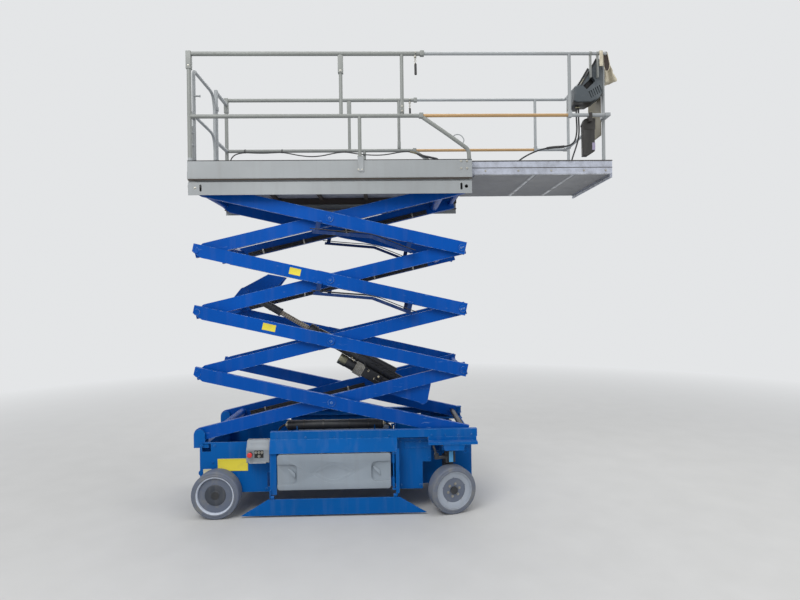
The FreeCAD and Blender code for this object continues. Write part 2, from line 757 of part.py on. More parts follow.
def footLever():
    # Plates under the lowest inner arms that hold the cylinder's foot shaft.
    along, across = armPoint(size.cylinderFootX, size.cylinderFootZ, 0)
    pieces = [rod(size.footRadius, along, both(360), across)]
    outline = [(along - 42, across - 20), (along + 42, across - 20), (along + 150, 30), (along - 330, 30),
               (along - 300, -60)]
    for side, hand in sides:
        pieces.append(polygon("XZ_Plane", outline, 20, 365 * side))
        pieces.append(rod(46, along, sided(side, 355, 375), across))
    return pieces


def eyeLever():
    # Plates over the third inner arms beside the rod's eye, with closed pin caps outside.
    along, across = armPoint(-size.cylinderEyeX, size.cylinderEyeZ, 2)
    outline = [(180, -30), (180, 35), (along - 30, across + 35), (along + 270, across + 114), (along + 420, across + 47),
               (along + 346, across - 14), (along, across - 45)]
    pieces = []
    for side, hand in sides:
        pieces.append(polygon("XZ_Plane", outline, 15, 52.5 * side))
        pieces.append(rod(45, along, sided(side, 45, 66), across))
    return pieces


def makeOuterArms(stage):
    outerFace = size.outerArmY + size.armWall
    pins = [rod(size.pinRadius, 0, both(556 if stage == 4 else outerFace), 0)]
    bores = (size.armLength / 2, size.armLength)
    if stage > 2:
        for side, hand in sides:
            pins += hoseBridge(side)
    beams, holes = beamPair(size.outerArmY, [], pins, False, lowCut=stage == 1)
    # only the beams are bored, so the shaft at the left end stays whole
    return cut(beams, *[rod(size.pinRadius + size.running, x, sided(side, size.outerArmY - 2, outerFace + 2), 0)
                        for x in bores for side, hand in sides])


def makeRollerShaft():
    # The shaft at the foot of the first outer arms, with a roller at each end.
    rollerIn, rollerOut = 480, 520
    pieces = [rod(size.pinRadius, size.armLength, both(size.outerArmY + size.armWall), 0),
              rod(20, size.armLength, both(rollerOut), 0)]
    for side, hand in sides:
        pieces.append(rod(size.rollerRadius, size.armLength, sided(side, rollerIn, rollerOut), 0))
    return fuse(*pieces)


def hoseBridge(side):
    # A bent bar below the arm that carries the hoses past the crossing.
    face = size.outerArmY + size.armWall
    lateral = (face + 14, face + 24)
    top = [(1113, -140), (1644, -69), (2025, -129), (2025, -155), (1644, -97), (1113, -168)]
    bar = polygon("XZ_Plane", top, 10, (face + 19) * side)
    tabs = []
    for x, low in ((1150, -160), (1990, -150)):
        tabs.append(box((x - 20, x + 20), sided(side, face, lateral[1]), (-55, -40)))
        tabs.append(box((x - 20, x + 20), sided(side, *lateral), (low, -40)))
    return [bar] + tabs


for stage in range(1, 5):
    innerTurn = Rotation(Vector(0, 1, 0), -liftAngle)
    outerTurn = Rotation(Vector(0, 1, 0), liftAngle)
    low = size.lowPinZ + size.stageRise * (stage - 1)
    node(f"inner_arms_{stage}", makeInnerArms(stage), -size.pinX, 0, low, innerTurn)
    node(f"outer_arms_{stage}", makeOuterArms(stage), -size.pinX, 0, low + size.stageRise, outerTurn)
node("roller_shaft", makeRollerShaft(), -size.pinX, 0, size.lowPinZ + size.stageRise, outerTurn)


# Lift cylinder, laid out along X from its foot pin

reach = math.hypot(size.cylinderFootX.value + size.cylinderEyeX.value,
                   size.cylinderEyeZ.value - size.cylinderFootZ.value)
cylinderAngle = math.degrees(math.atan2(size.cylinderEyeZ.value - size.cylinderFootZ.value,
                                        -size.cylinderFootX.value - size.cylinderEyeX.value))
cylinderTurn = Rotation(Vector(0, 1, 0), -cylinderAngle)
gland = 60


def makeBarrel():
    wall = 10
    inside = size.barrelRadius - wall
    outside = fuse(rod(size.barrelRadius, (40, size.barrelEnd), 0, 0), rod(48, 0, both(38), 0),
                   rod(size.barrelRadius + 8, (size.barrelEnd - gland, size.barrelEnd), 0, 0))
    return cut(outside, rod(inside, (70, size.barrelEnd - gland), 0, 0),
               rod(size.rodRadius + size.running, (70, size.barrelEnd + 5), 0, 0),
               rod(size.footRadius + size.running, 0, both(45), 0))


def makeLiftRod():
    sleeveStart, sleeveEnd, rodStart = 1590, 1800, 345
    body = fuse(rod(size.rodRadius, (rodStart, reach - 20), 0, 0), rod(35, (sleeveStart, sleeveEnd), 0, 0),
                rod(40, reach, both(34), 0), rod(22, reach, both(38), 0))
    return body


def makeValveBlock():
    block = fuse(rod(55, (690, 870), 0, 104), box((600, 700), both(45), (30, 130)))
    return cut(block, rod(size.barrelRadius, (580, 890), 0, 0))


footPlace = (size.cylinderFootX, 0, size.cylinderFootZ, cylinderTurn)
node("lift_barrel", makeBarrel(), *footPlace)
node("lift_rod", makeLiftRod(), *footPlace)
node("valve_block", makeValveBlock(), *footPlace)


# Platform


def makePlatformFrame():
    pivotZ = size.lowPinZ + size.stageRise * 4
    gap = size.channelGap / 2
    wall = size.channelWall
    frontEnd = 1330
    pieces = []
    for side, hand in sides:
        web = sided(side, size.beamSide - wall, size.beamSide)
        flange = sided(side, 500, size.beamSide)
        length = (-size.platformRear, size.platformFront)
        pieces += [
            box(length, web, (size.beamBottom, pivotZ + gap + wall)),
            box(length, flange, (pivotZ - gap - wall, pivotZ - gap)),
            box(length, flange, (pivotZ + gap, pivotZ + gap + wall)),
            box(length, sided(side, 505, 550), (pivotZ + gap + wall, size.deckTop - size.deckSheet)),
            rod(45, -size.pinX + 10, sided(side, 520, size.beamSide - wall), pivotZ),
            box((-size.pinX - 30, -size.pinX + 50), sided(side, 520, size.beamSide - wall),
                (pivotZ - gap - 1, pivotZ + gap + 1)),
        ]
    memberStart, memberStep, memberWidth = 1180, 482, 36
    for index in range(6):
        x = memberStep * index - memberStart
        pieces.append(box((x, x + memberWidth), both(505), (3008, size.deckTop - size.deckSheet)))
    frame = fuse(*pieces)
    return cut(frame, *[rod(size.pinRadius + size.running, -size.pinX, sided(side, 490, size.beamSide - wall),
                            pivotZ) for side, hand in sides])


node("platform_frame", makePlatformFrame())


def makeDeck():
    pieces = [box((-size.platformRear, size.platformFront), both(size.platformSide),
                  (size.deckTop - size.deckSheet, size.deckTop))]
    # slides under the roll-out deck and the guides that hold its edges down
    guideRear, guideFront = -1000, size.platformFront - 5
    guideIn, guideSheet = size.extensionSide + 14, 10
    lip = (size.extensionLow + 5, size.extensionLow + 10)
    for side, hand in sides:
        pieces.append(box((size.extensionStart - 10, guideFront), sided(side, size.extensionSide - 130,
                          size.extensionSide - 10), (size.deckTop, size.extensionLow - 0.2)))
        pieces.append(box((guideRear, guideFront), sided(side, guideIn, guideIn + guideSheet),
                          (size.deckTop, size.extensionLow + 10)))
        pieces.append(box((guideRear, guideFront), sided(side, guideIn - guideSheet, guideIn + guideSheet), lip))
    return fuse(*pieces)


node("platform_deck", makeDeck())


railReach = size.railEnd - 20


def railBores(side):
    # The way of the roll-out deck's rails through the side rails.
    reach = (-985, size.railEnd + 65)
    return [rod(size.innerRail + size.running, reach, size.railY * side, z) for z in (size.topRailZ, size.midRailZ)]


def makeSideRail(side):
    y = size.railY * side
    radius = size.railRadius
    rail = fuse(
        rod(radius, -size.railX, y, (size.deckTop, size.topRailZ)),
        rod(radius, (-size.railX, size.railEnd), y, size.topRailZ),
        rod(radius, (-size.railX, railReach), y, size.midRailZ),
        rod(radius, 105, y, (size.midRailZ, size.topRailZ)),
        rod(radius, 650, y, (size.midRailZ, size.topRailZ)),
        ball(radius, -size.railX, y, size.topRailZ),
    )
    return cut(rail, *railBores(side))


def makeToeBoard(side):
    # Toe board with the lower posts and the bar that slopes down from the mid rail's end.
    y = size.railY * side
    radius = size.railRadius
    slopeStart, slopeEnd = (railReach.value, size.midRailZ.value - 2), (1247, 3250)
    board = fuse(
        box((-size.platformRear, size.platformFront), sided(side, size.platformSide,
            size.platformSide + size.toeSheet), (size.toeLow, size.toeTop)),
        rod(radius, 268, y, (size.deckTop, size.midRailZ)),
        bar(radius, slopeStart, slopeEnd, y),
        ball(radius, slopeEnd[0], y, slopeEnd[1]),
        rod(radius, slopeEnd[0], y, (size.deckTop, slopeEnd[1])),
    )
    neighbours = [rod(radius, (-size.railX, railReach), y, size.midRailZ),
                  rod(radius, -size.railX, y, (size.deckTop, size.topRailZ))]
    return cut(board, *(neighbours + railBores(side)))


for side, hand in sides:
    node(f"side_rail_{hand}", makeSideRail(side))
    node(f"toe_board_{hand}", makeToeBoard(side))

gatePostY = 200


def makeRearRail():
    radius = size.railRadius
    edge = size.railY - radius / 2
    pieces = [
        box((-size.platformRear - size.toeSheet, -size.platformRear), both(size.platformSide), (size.toeLow, 3070)),
        box((-size.platformRear - 1, -1215), both(size.railY), (size.deckTop, size.deckTop + size.toeSheet)),
        rod(radius, -size.railX, gatePostY, (size.deckTop, 4090)),
        rod(radius, -size.railX, (gatePostY, edge), 4071),
        rod(radius, -size.railX, (gatePostY, edge), size.midRailZ),
        rod(14, -size.railX, -476, (size.deckTop, 3500)),
        rod(10, -size.railX, (-edge, -476), 3440),
        rod(10, -size.railX, (-edge, -476), 3330),
    ]
    neighbours = []
    for side, hand in sides:
        neighbours.append(rod(radius, -size.railX, size.railY * side, (size.deckTop - 5, size.topRailZ)))
        neighbours.append(rod(radius, (-size.railX, -size.platformRear + 80), size.railY * side, size.midRailZ))
    return cut(fuse(*pieces), *neighbours)


node("rear_rail", makeRearRail())


def makeGate():
    radius = 15
    top, middle, low = 4020, 3610, 3110
    nearPost, farPost = -440, 145
    pieces = [
        rod(radius, -size.railX, nearPost, (low, top)),
        rod(radius, -size.railX, farPost, (low, top)),
    ]
    for z in (top, middle, low):
        pieces.append(rod(radius, -size.railX, (nearPost, farPost), z))
    for y, z in ((nearPost, top), (farPost, top), (nearPost, low), (farPost, low)):
        pieces.append(ball(radius, -size.railX, y, z))
    for z in (3300, 3880):
        pieces.append(rod(28, -size.railX, gatePostY, (z, z + 40)))
        pieces.append(box((-size.railX - 8, -size.railX + 8), (farPost, gatePostY - 22), (z, z + 40)))
    post = rod(size.railRadius + size.running, -size.railX, gatePostY, (3200, 4000))
    return cut(fuse(*pieces), post)


node("entry_gate", makeGate())


# Cables from the control box: their places along the deck and where they end on it
cableY, cableEnds = 456, (1664, 2196)


def makeExtensionDeck():
    front, start = size.extensionFront, size.extensionStart
    low = size.extensionLow
    pieces = [
        box((start, front), both(size.extensionSide - 4), (low, low + 4)),
        box((front - 4, front), both(size.extensionSide), (low - 36, size.toeTop)),
        box((front - 15, front), both(size.extensionSide - 4), (low - 36, low)),
    ]
    for side, hand in sides:
        pieces.append(box((start, front), sided(side, size.extensionSide - 4, size.extensionSide), (low, size.toeTop)))
        pieces.append(box((start, start + 70), sided(side, size.extensionSide - 1, 522), (low, low + 4)))
    for x in cableEnds:
        pieces.append(box((x - 15, x + 15), sided(-1, cableY - 14, cableY + 14), (low + 2, low + 30)))
    return fuse(*pieces)


node("extension_deck", makeExtensionDeck())


def makeExtensionRails():
    r = size.innerRail
    bend = 60
    sideEnd = size.frontRailX - bend
    frontEnd = size.railY - bend
    pieces = []
    for z in (size.topRailZ, size.midRailZ):
        pieces.append(rod(r, size.frontRailX, both(frontEnd), z))
        for side, hand in sides:
            pieces.append(rod(r, (size.innerRailStart, sideEnd), size.railY * side, z))
            corner = doc.addObject("Part::Torus", "corner")
            corner.Radius1 = bend
            bind(corner, "Radius2", r)
            corner.Angle3 = 90
            turn = 0 if side > 0 else -90
            corner.Placement = FreeCAD.Placement(Vector(), Rotation(Vector(0, 0, 1), turn))
            setBase(corner, sideEnd, frontEnd * side, z)
            pieces.append(corner)
    for side, hand in sides:
        pieces.append(rod(r, size.frontRailX, 470 * side, (size.extensionLow + 4, size.topRailZ)))
        pieces.append(rod(r, size.extensionPostX, size.railY * side, (size.midRailZ, size.topRailZ)))
    pieces.append(box((size.frontRailX - 17, size.frontRailX - 13), (-455, -150), (3410, 3886)))
    return fuse(*pieces)


node("extension_rails", makeExtensionRails())


def makeControlBox():
    outline = [(2210, 3700), (2400, 3740), (2470, 3820), (2470, 4075), (2420, 4075), (2310, 3900), (2210, 3880)]
    case = polygon("XZ_Plane", outline, 210)
    # two clamps that reach out from the case and close round the top rail
    out = size.railY - consoleY
    gland = box((2240, 2290), (consoleY - cableY - 14, consoleY - cableY + 14), (3660, 3725))
    pieces = [case, gland]
    for x in (2340, 2405):
        pieces.append(box((x, x + 30), (-out - 21, 20 - out), (3880, size.topRailZ + 19)))
    return cut(fuse(*pieces), rod(size.innerRail + size.running, (2300, 2450), -out, size.topRailZ))


consoleY = 431
node("platform_control_box", makeControlBox(), 0, -consoleY)


def makeManualBox():
    outline = [(2285, 3545), (2285, 3200), (2330, 3200), (2400, 3245), (2400, 3545)]
    case = polygon("XZ_Plane", outline, 50)
    out = size.railY - bookY
    clamp = box((2330, 2360), (-out - 20, 10 - out + 20), (3500, size.midRailZ + 19))
    return cut(fuse(case, clamp), rod(size.innerRail + size.running, (2300, 2400), -out, size.midRailZ))


bookY = 505
node("manual_box", makeManualBox(), 0, -bookY)


def makePouch():
    outline = [(2520, 4100), (2560, 4100), (2630, 3880), (2530, 3880)]
    bag = polygon("XZ_Plane", outline, 230)
    clear = 0.3
    inner = size.innerRail + clear
    front = size.frontRailX
    straps = []
    for y in (-80, 60):
        span = (y, y + 20)
        straps.append(box((front - inner - 2, front + 30), span, (size.topRailZ + inner, size.topRailZ + inner + 2)))
        straps.append(box((front - inner - 2, front - inner), span, (4090, size.topRailZ + inner + 1)))
        straps.append(box((front + 28, front + 30), span, (4090, size.topRailZ + inner + 1)))
    return fuse(bag, *straps)


node("tool_pouch", makePouch(), 0, -330)


# Cables: up the rear corner and along the right mid rail, and from the control box to the deck

railRoute = [
    (-1203, 528, 3040), (-1203, 528, 3170), (-1204, 530, 3320), (-1196, 532, 3450), (-1150, 535, 3522),
    (-1040, 536, 3545), (-930, 536, 3538), (-820, 536, 3536), (-720, 536, 3541), (-631, 536, 3545),
    (-540, 536, 3529), (-440, 536, 3508), (-316, 536, 3494), (-200, 536, 3503), (-110, 536, 3522),
    (-30, 536, 3538), (61, 536, 3545), (140, 534, 3532), (215, 528, 3518), (320, 527, 3508),
    (410, 530, 3506), (500, 534, 3512), (590, 536, 3528), (670, 536, 3542), (757, 534, 3546),
    (830, 528, 3526), (910, 527, 3494), (1000, 527, 3476), (1086, 526, 3456), (1146, 527, 3396),
    (1170, 527, 3305), (1176, 528, 3210), (1174, 527, 3130), (1174, 527, 3058),
]
consoleRoute = [
    (2256, -456, 3660), (2256, -456, 3570), (2262, -455, 3465), (2250, -450, 3375), (2214, -448, 3325),
    (2130, -450, 3307), (2030, -453, 3303), (1930, -451, 3286), (1840, -448, 3253), (1762, -450, 3212),
    (1700, -453, 3165), (1664, -456, 3118), (1664, -456, 3076),
]
deckRoute = [
    (2276, -456, 3660), (2276, -456, 3570), (2281, -457, 3450), (2268, -462, 3365), (2244, -463, 3290),
    (2218, -459, 3215), (2196, -456, 3140), (2196, -456, 3076),
]
node("rail_cable", cordTube(railRoute, size.railCable))
node("console_cable", cordTube(consoleRoute, size.controlCable))
node("deck_cable", cordTube(deckRoute, size.controlCable))

doc.recompute()
for thing in doc.Objects:
    if "Invalid" in thing.State or "Error" in thing.State:
        print("problem", thing.Name, thing.Label, thing.State)
for label, thing in nodes.items():
    shape = thing.Shape
    if shape.isNull() or not shape.isValid():
        raise RuntimeError(f"{label} is not a valid solid")
    if len(shape.Solids) != (2 if label.startswith("channel") else 1):
        print("solids", label, len(shape.Solids))
    shape.exportStep(f"parts/{label}.step")
bounds = None
for label, thing in nodes.items():
    bounds = thing.Shape.BoundBox if bounds is None else bounds.united(thing.Shape.BoundBox)
print("bounds", bounds.XMin, bounds.XMax, bounds.YMin, bounds.YMax, bounds.ZMin, bounds.ZMax, len(nodes))
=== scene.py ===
import json
import math

import bpy
from mathutils import Matrix, Vector, noise


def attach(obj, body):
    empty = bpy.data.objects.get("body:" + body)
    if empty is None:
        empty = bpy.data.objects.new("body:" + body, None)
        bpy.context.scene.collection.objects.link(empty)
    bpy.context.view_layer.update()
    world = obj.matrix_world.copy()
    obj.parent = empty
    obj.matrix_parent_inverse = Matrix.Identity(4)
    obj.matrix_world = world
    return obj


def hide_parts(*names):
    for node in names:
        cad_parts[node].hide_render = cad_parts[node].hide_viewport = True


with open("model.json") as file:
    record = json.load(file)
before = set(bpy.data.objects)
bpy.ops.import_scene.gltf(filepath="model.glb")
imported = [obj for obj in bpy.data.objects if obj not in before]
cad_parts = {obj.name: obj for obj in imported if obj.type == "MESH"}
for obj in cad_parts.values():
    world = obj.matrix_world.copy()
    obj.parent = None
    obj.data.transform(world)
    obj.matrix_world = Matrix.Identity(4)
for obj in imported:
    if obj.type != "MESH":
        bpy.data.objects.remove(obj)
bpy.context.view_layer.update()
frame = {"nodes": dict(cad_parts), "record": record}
nodes = frame["nodes"]
sides = ((-1, "left"), (1, "right"))


# Places are given in millimetres from the middle of the wheelbase

def place(x, y, z):
    return Vector(((x - 680) / 1000, y / 1000, z / 1000))


def srgb(red, green, blue):
    linear = []
    for part in (red / 255, green / 255, blue / 255):
        linear.append(part / 12.92 if part <= 0.04045 else ((part + 0.055) / 1.055) ** 2.4)
    return (*linear, 1.0)


# Camera, backdrop and light

cameraSettings = {"place": (-0.1929, -5.3344, 1.912), "yaw": -0.0256, "pitch": 0.0009, "roll": -0.0126,
                  "lens": 24.08}


def makeCamera(settings):
    yaw, pitch, roll = settings["yaw"], settings["pitch"], settings["roll"]
    ahead = Vector((math.sin(-yaw) * math.cos(pitch), math.cos(yaw) * math.cos(pitch), math.sin(pitch)))
    level = Vector((math.cos(yaw), math.sin(yaw), 0))
    upright = level.cross(ahead)
    right = level * math.cos(roll) + upright * math.sin(roll)
    up = upright * math.cos(roll) - level * math.sin(roll)
    camera = bpy.data.objects.new("camera", bpy.data.cameras.new("camera"))
    bpy.context.scene.collection.objects.link(camera)
    turn = Matrix((right, up, -ahead)).transposed().to_4x4()
    camera.matrix_world = Matrix.Translation(settings["place"]) @ turn
    camera.data.lens = settings["lens"]
    camera.data.sensor_width = 36
    camera.data.clip_end = 200
    bpy.context.scene.camera = camera


def wire(tree, kind, inputs=None, **settings):
    node = tree.nodes.new("ShaderNode" + kind)
    for name, value in settings.items():
        setattr(node, name, value)
    for name, value in (inputs or {}).items():
        socket = node.inputs[name]
        if isinstance(value, bpy.types.NodeSocket):
            tree.links.new(value, socket)
        else:
            socket.default_value = value
    return node


def makeStage():
    bpy.ops.object.select_all(action="DESELECT")
    bpy.ops.mesh.primitive_plane_add(size=60, location=(0, 0, 0))
    floor = bpy.context.object
    floor.name = "studioFloor"
    material = bpy.data.materials.new("studioFloor")
    material.use_nodes = True
    tree = material.node_tree
    shader = tree.nodes["Principled BSDF"]
    coords = wire(tree, "TexCoord").outputs["Object"]
    speckle = wire(tree, "TexNoise", {"Vector": coords, "Scale": 3.0, "Detail": 5.0}).outputs["Fac"]
    ramp = wire(tree, "ValToRGB", {"Fac": speckle})
    ramp.color_ramp.elements[0].color = srgb(188, 188, 187)
    ramp.color_ramp.elements[1].color = srgb(198, 198, 197)
    tree.links.new(ramp.outputs["Color"], shader.inputs["Base Color"])
    shader.inputs["Roughness"].default_value = 0.75
    # far from the object the floor turns as pale as the backdrop
    reach = wire(tree, "VectorMath", {0: coords}, operation="LENGTH").outputs["Value"]
    far = wire(tree, "MapRange", {"Value": reach, "From Min": 3.5, "From Max": 11.0}).outputs["Result"]
    pale = wire(tree, "Emission", {"Color": (0.97, 0.985, 1.0, 1.0), "Strength": 0.8})
    both = wire(tree, "MixShader", {0: far, 1: shader.outputs["BSDF"], 2: pale.outputs["Emission"]})
    tree.links.new(both.outputs["Shader"], tree.nodes["Material Output"].inputs["Surface"])
    floor.data.materials.append(material)


def makeLights():
    world = bpy.data.worlds.new("studioWorld")
    bpy.context.scene.world = world
    world.use_nodes = True
    tree = world.node_tree
    tree.nodes.clear()
    path = wire(tree, "LightPath")
    seen = wire(tree, "Math", {0: path.outputs["Is Camera Ray"], 1: path.outputs["Is Transmission Ray"]},
                operation="MAXIMUM").outputs[0]
    seenAll = wire(tree, "Math", {0: seen, 1: path.outputs["Is Glossy Ray"]}, operation="MAXIMUM").outputs[0]
    strength = wire(tree, "MapRange", {"Value": seenAll, "To Min": 0.5, "To Max": 0.8}).outputs["Result"]
    back = wire(tree, "Background", {"Color": (0.97, 0.985, 1.0, 1.0), "Strength": strength})
    out = tree.nodes.new("ShaderNodeOutputWorld")
    tree.links.new(back.outputs["Background"], out.inputs["Surface"])
    lamps = (
        ("keyLamp", (-3.0, -5.0, 6.5), 4.0, 320),
        ("topLamp", (1.5, 0.5, 8.0), 6.0, 260),
        ("fillLamp", (6.0, -4.0, 4.0), 4.0, 100),
        ("rimLamp", (-1.0, 6.0, 6.0), 5.0, 130),
    )
    for name, spot, width, power in lamps:
        lamp = bpy.data.objects.new(name, bpy.data.lights.new(name, "AREA"))
        bpy.context.scene.collection.objects.link(lamp)
        lamp.data.shape = "SQUARE"
        lamp.data.size = width
        lamp.data.energy = power
        lamp.location = spot
        lamp.rotation_euler = (Vector((0, 0, 1.6)) - Vector(spot)).to_track_quat("-Z", "Y").to_euler()


makeCamera(cameraSettings)
makeStage()
makeLights()
bpy.context.scene.view_settings.view_transform = "Standard"
print("camera and light")


# Effects shared by the materials

def newGroup(name, inputs, outputs):
    group = bpy.data.node_groups.new(name, "ShaderNodeTree")
    for label, kind, value in inputs:
        socket = group.interface.new_socket(label, in_out="INPUT", socket_type="NodeSocket" + kind)
        socket.default_value = value
    for label, kind in outputs:
        group.interface.new_socket(label, in_out="OUTPUT", socket_type="NodeSocket" + kind)
    start = group.nodes.new("NodeGroupInput").outputs
    end = group.nodes.new("NodeGroupOutput").inputs
    return group, start, end


def send(group, end, **values):
    for label, value in values.items():
        group.links.new(value, end[label])
    return group


def ranged(tree, value, low, high, toLow=0.0, toHigh=1.0):
    return wire(tree, "MapRange", {"Value": value, "From Min": low, "From Max": high, "To Min": toLow,
                                   "To Max": toHigh}).outputs["Result"]


def compute(tree, operation, *values, clamp=False):
    return wire(tree, "Math", dict(enumerate(values)), operation=operation, use_clamp=clamp).outputs[0]


def times(tree, first, second):
    return compute(tree, "MULTIPLY", first, second, clamp=True)


def vector(tree, operation, *values, output="Vector"):
    return wire(tree, "VectorMath", dict(enumerate(values)), operation=operation).outputs[output]


def blendColor(tree, factor, first, second):
    return wire(tree, "Mix", {0: factor, 6: first, 7: second}, data_type="RGBA").outputs[2]


def shaded(tree, color, value):
    return wire(tree, "HueSaturation", {"Color": color, "Value": value}).outputs["Color"]


def stretched(tree, coords, scale):
    return wire(tree, "Mapping", {"Vector": coords, "Scale": scale}).outputs["Vector"]


def mottle(tree, coords, scale, detail, roughness=0.5):
    return wire(tree, "TexNoise", {"Vector": coords, "Scale": scale, "Detail": detail,
                                   "Roughness": roughness}).outputs["Fac"]


def cornering(tree, normal, radius):
    # 1 on flat faces, and less where the surface turns within the radius
    rounded = wire(tree, "Bevel", {"Radius": radius}, samples=4).outputs["Normal"]
    return vector(tree, "DOT_PRODUCT", normal, rounded, output="Value")


solidOutputs = (("Color", "Color"), ("Roughness", "Float"), ("Height", "Float"))


def makeAgedCoat():
    # Paint that is worn off at edges, scuffed, streaked and dusty on top; where the worn colour is paler than
    # the paint, the edge wear is also a painted highlight on rounded edges
    group, start, end = newGroup(
        "agedCoat",
        (("Paint", "Color", (0.5, 0.5, 0.5, 1)), ("Worn", "Color", (0.7, 0.7, 0.7, 1)),
         ("Dust", "Color", (0.5, 0.48, 0.44, 1)), ("Wear", "Float", 0.5), ("Dustiness", "Float", 0.5),
         ("Gloss", "Float", 0.45)), solidOutputs)
    coords = wire(group, "TexCoord").outputs["Object"]
    normal = wire(group, "NewGeometry").outputs["Normal"]
    edge = ranged(group, cornering(group, normal, 0.006), 0.985, 0.86)
    chips = mottle(group, coords, 24.0, 5.0)
    scuffs = mottle(group, stretched(group, coords, (3.0, 9.0, 14.0)), 2.2, 9.0, 0.72)
    edgeWear = times(group, edge, ranged(group, chips, 0.44, 0.6))
    scuffWear = times(group, ranged(group, scuffs, 0.64, 0.74), 0.45)
    wear = times(group, compute(group, "MAXIMUM", edgeWear, scuffWear), start["Wear"])
    broad = mottle(group, coords, 1.4, 4.0)
    paint = shaded(group, start["Paint"], ranged(group, broad, 0.25, 0.75, 0.86, 1.14))
    streaks = mottle(group, stretched(group, coords, (11.0, 11.0, 0.9)), 1.6, 6.0)
    streak = times(group, ranged(group, streaks, 0.5, 0.78, 0.0, 0.55), start["Dustiness"])
    upward = wire(group, "SeparateXYZ", {0: normal}).outputs["Z"]
    settled = mottle(group, coords, 7.0, 7.0)
    dust = times(group, ranged(group, upward, 0.55, 0.98, 0.0, 0.8), ranged(group, settled, 0.3, 0.62))
    dust = compute(group, "MAXIMUM", times(group, dust, start["Dustiness"]), streak)
    color = blendColor(group, wear, paint, start["Worn"])
    color = blendColor(group, dust, color, start["Dust"])
    rough = compute(group, "ADD", ranged(group, settled, 0.3, 0.7, -0.05, 0.09), start["Gloss"])
    rough = compute(group, "MULTIPLY_ADD", dust, 0.3, rough, clamp=True)
    peel = mottle(group, coords, 160.0, 2.0)
    height = compute(group, "MULTIPLY_ADD", wear, -0.8, peel)
    return send(group, end, Color=color, Roughness=rough, Height=height)


def makeMouldGrain():
    # Moulded plastic or rubber with a fine grain and scuffed, dusty patches
    group, start, end = newGroup(
        "mouldGrain",
        (("Base", "Color", (0.1, 0.1, 0.1, 1)), ("Scuff", "Color", (0.3, 0.3, 0.3, 1)),
         ("Amount", "Float", 0.5), ("Grain", "Float", 420.0), ("Gloss", "Float", 0.6)), solidOutputs)
    coords = wire(group, "TexCoord").outputs["Object"]
    normal = wire(group, "NewGeometry").outputs["Normal"]
    patches = mottle(group, coords, 9.0, 7.0, 0.65)
    edge = times(group, ranged(group, cornering(group, normal, 0.004), 0.99, 0.88), 0.8)
    wear = compute(group, "MAXIMUM", edge, ranged(group, patches, 0.5, 0.75))
    color = blendColor(group, times(group, wear, start["Amount"]), start["Base"], start["Scuff"])
    grain = mottle(group, coords, start["Grain"], 2.0)
    rough = compute(group, "ADD", ranged(group, patches, 0.3, 0.7, -0.06, 0.1), start["Gloss"], clamp=True)
    return send(group, end, Color=color, Roughness=rough, Height=grain)


def makeBrushed():
    # Bare metal with drawn lines, dull patches and small scratches
    group, start, end = newGroup(
        "brushed",
        (("Metal", "Color", (0.6, 0.6, 0.6, 1)), ("Stain", "Color", (0.3, 0.27, 0.23, 1)),
         ("Amount", "Float", 0.4), ("Gloss", "Float", 0.35)), solidOutputs)
    coords = wire(group, "TexCoord").outputs["Object"]
    lines = mottle(group, stretched(group, coords, (2.0, 120.0, 120.0)), 4.0, 3.0)
    patches = mottle(group, coords, 8.0, 9.0, 0.7)
    stain = times(group, ranged(group, patches, 0.42, 0.7), start["Amount"])
    metal = shaded(group, start["Metal"], ranged(group, lines, 0.3, 0.7, 0.9, 1.1))
    color = blendColor(group, stain, metal, start["Stain"])
    rough = compute(group, "ADD", ranged(group, lines, 0.3, 0.7, -0.06, 0.1), start["Gloss"])
    rough = compute(group, "MULTIPLY_ADD", stain, 0.4, rough, clamp=True)
    return send(group, end, Color=color, Roughness=rough, Height=lines)


def makeTreadLugs():
    # Raised lozenges of tread plate, alternate ones turned a quarter, on faces that look up
    group, start, end = newGroup("treadLugs", (("Pitch", "Float", 28.0),), (("Height", "Float"),))
    coords = wire(group, "TexCoord").outputs["Object"]
    parts = []
    for turn in (45, -45):
        turned = wire(group, "Mapping", {"Vector": coords, "Rotation": (0, 0, math.radians(turn))})
        scaled = wire(group, "VectorMath", {0: turned.outputs["Vector"], 3: start["Pitch"]},
                      operation="SCALE")
        offset = vector(group, "ADD", scaled.outputs["Vector"], (0.25 * turn / 45, 0.25, 0))
        middle = vector(group, "SUBTRACT", vector(group, "FRACTION", offset), (0.5, 0.5, 0))
        shaped = vector(group, "MULTIPLY", middle, (2.2, 7.0, 0))
        parts.append(ranged(group, vector(group, "LENGTH", shaped, output="Value"), 1.0, 0.55))
    both = compute(group, "MAXIMUM", *parts)
    upward = wire(group, "SeparateXYZ", {0: wire(group, "NewGeometry").outputs["Normal"]}).outputs["Z"]
    return send(group, end, Height=times(group, both, ranged(group, upward, 0.7, 0.9)))


def makeWeave():
    # Plain weave of crossing yarns with faded, soiled patches
    group, start, end = newGroup(
        "weave",
        (("Cloth", "Color", (0.7, 0.66, 0.55, 1)), ("Soil", "Color", (0.4, 0.36, 0.3, 1)),
         ("Amount", "Float", 0.4), ("Yarn", "Float", 900.0)),
        (("Color", "Color"), ("Height", "Float")))
    coords = wire(group, "TexCoord").outputs["Object"]
    bands = []
    for axis in ("Y", "Z"):
        bands.append(wire(group, "TexWave", {"Vector": coords, "Scale": start["Yarn"], "Distortion": 0.4},
                          bands_direction=axis).outputs["Fac"])
    yarn = compute(group, "MULTIPLY", *bands)
    patches = mottle(group, coords, 14.0, 6.0)
    soil = times(group, ranged(group, patches, 0.4, 0.72), start["Amount"])
    cloth = shaded(group, start["Cloth"], ranged(group, yarn, 0, 1, 0.8, 1.08))
    return send(group, end, Color=blendColor(group, soil, cloth, start["Soil"]), Height=yarn)


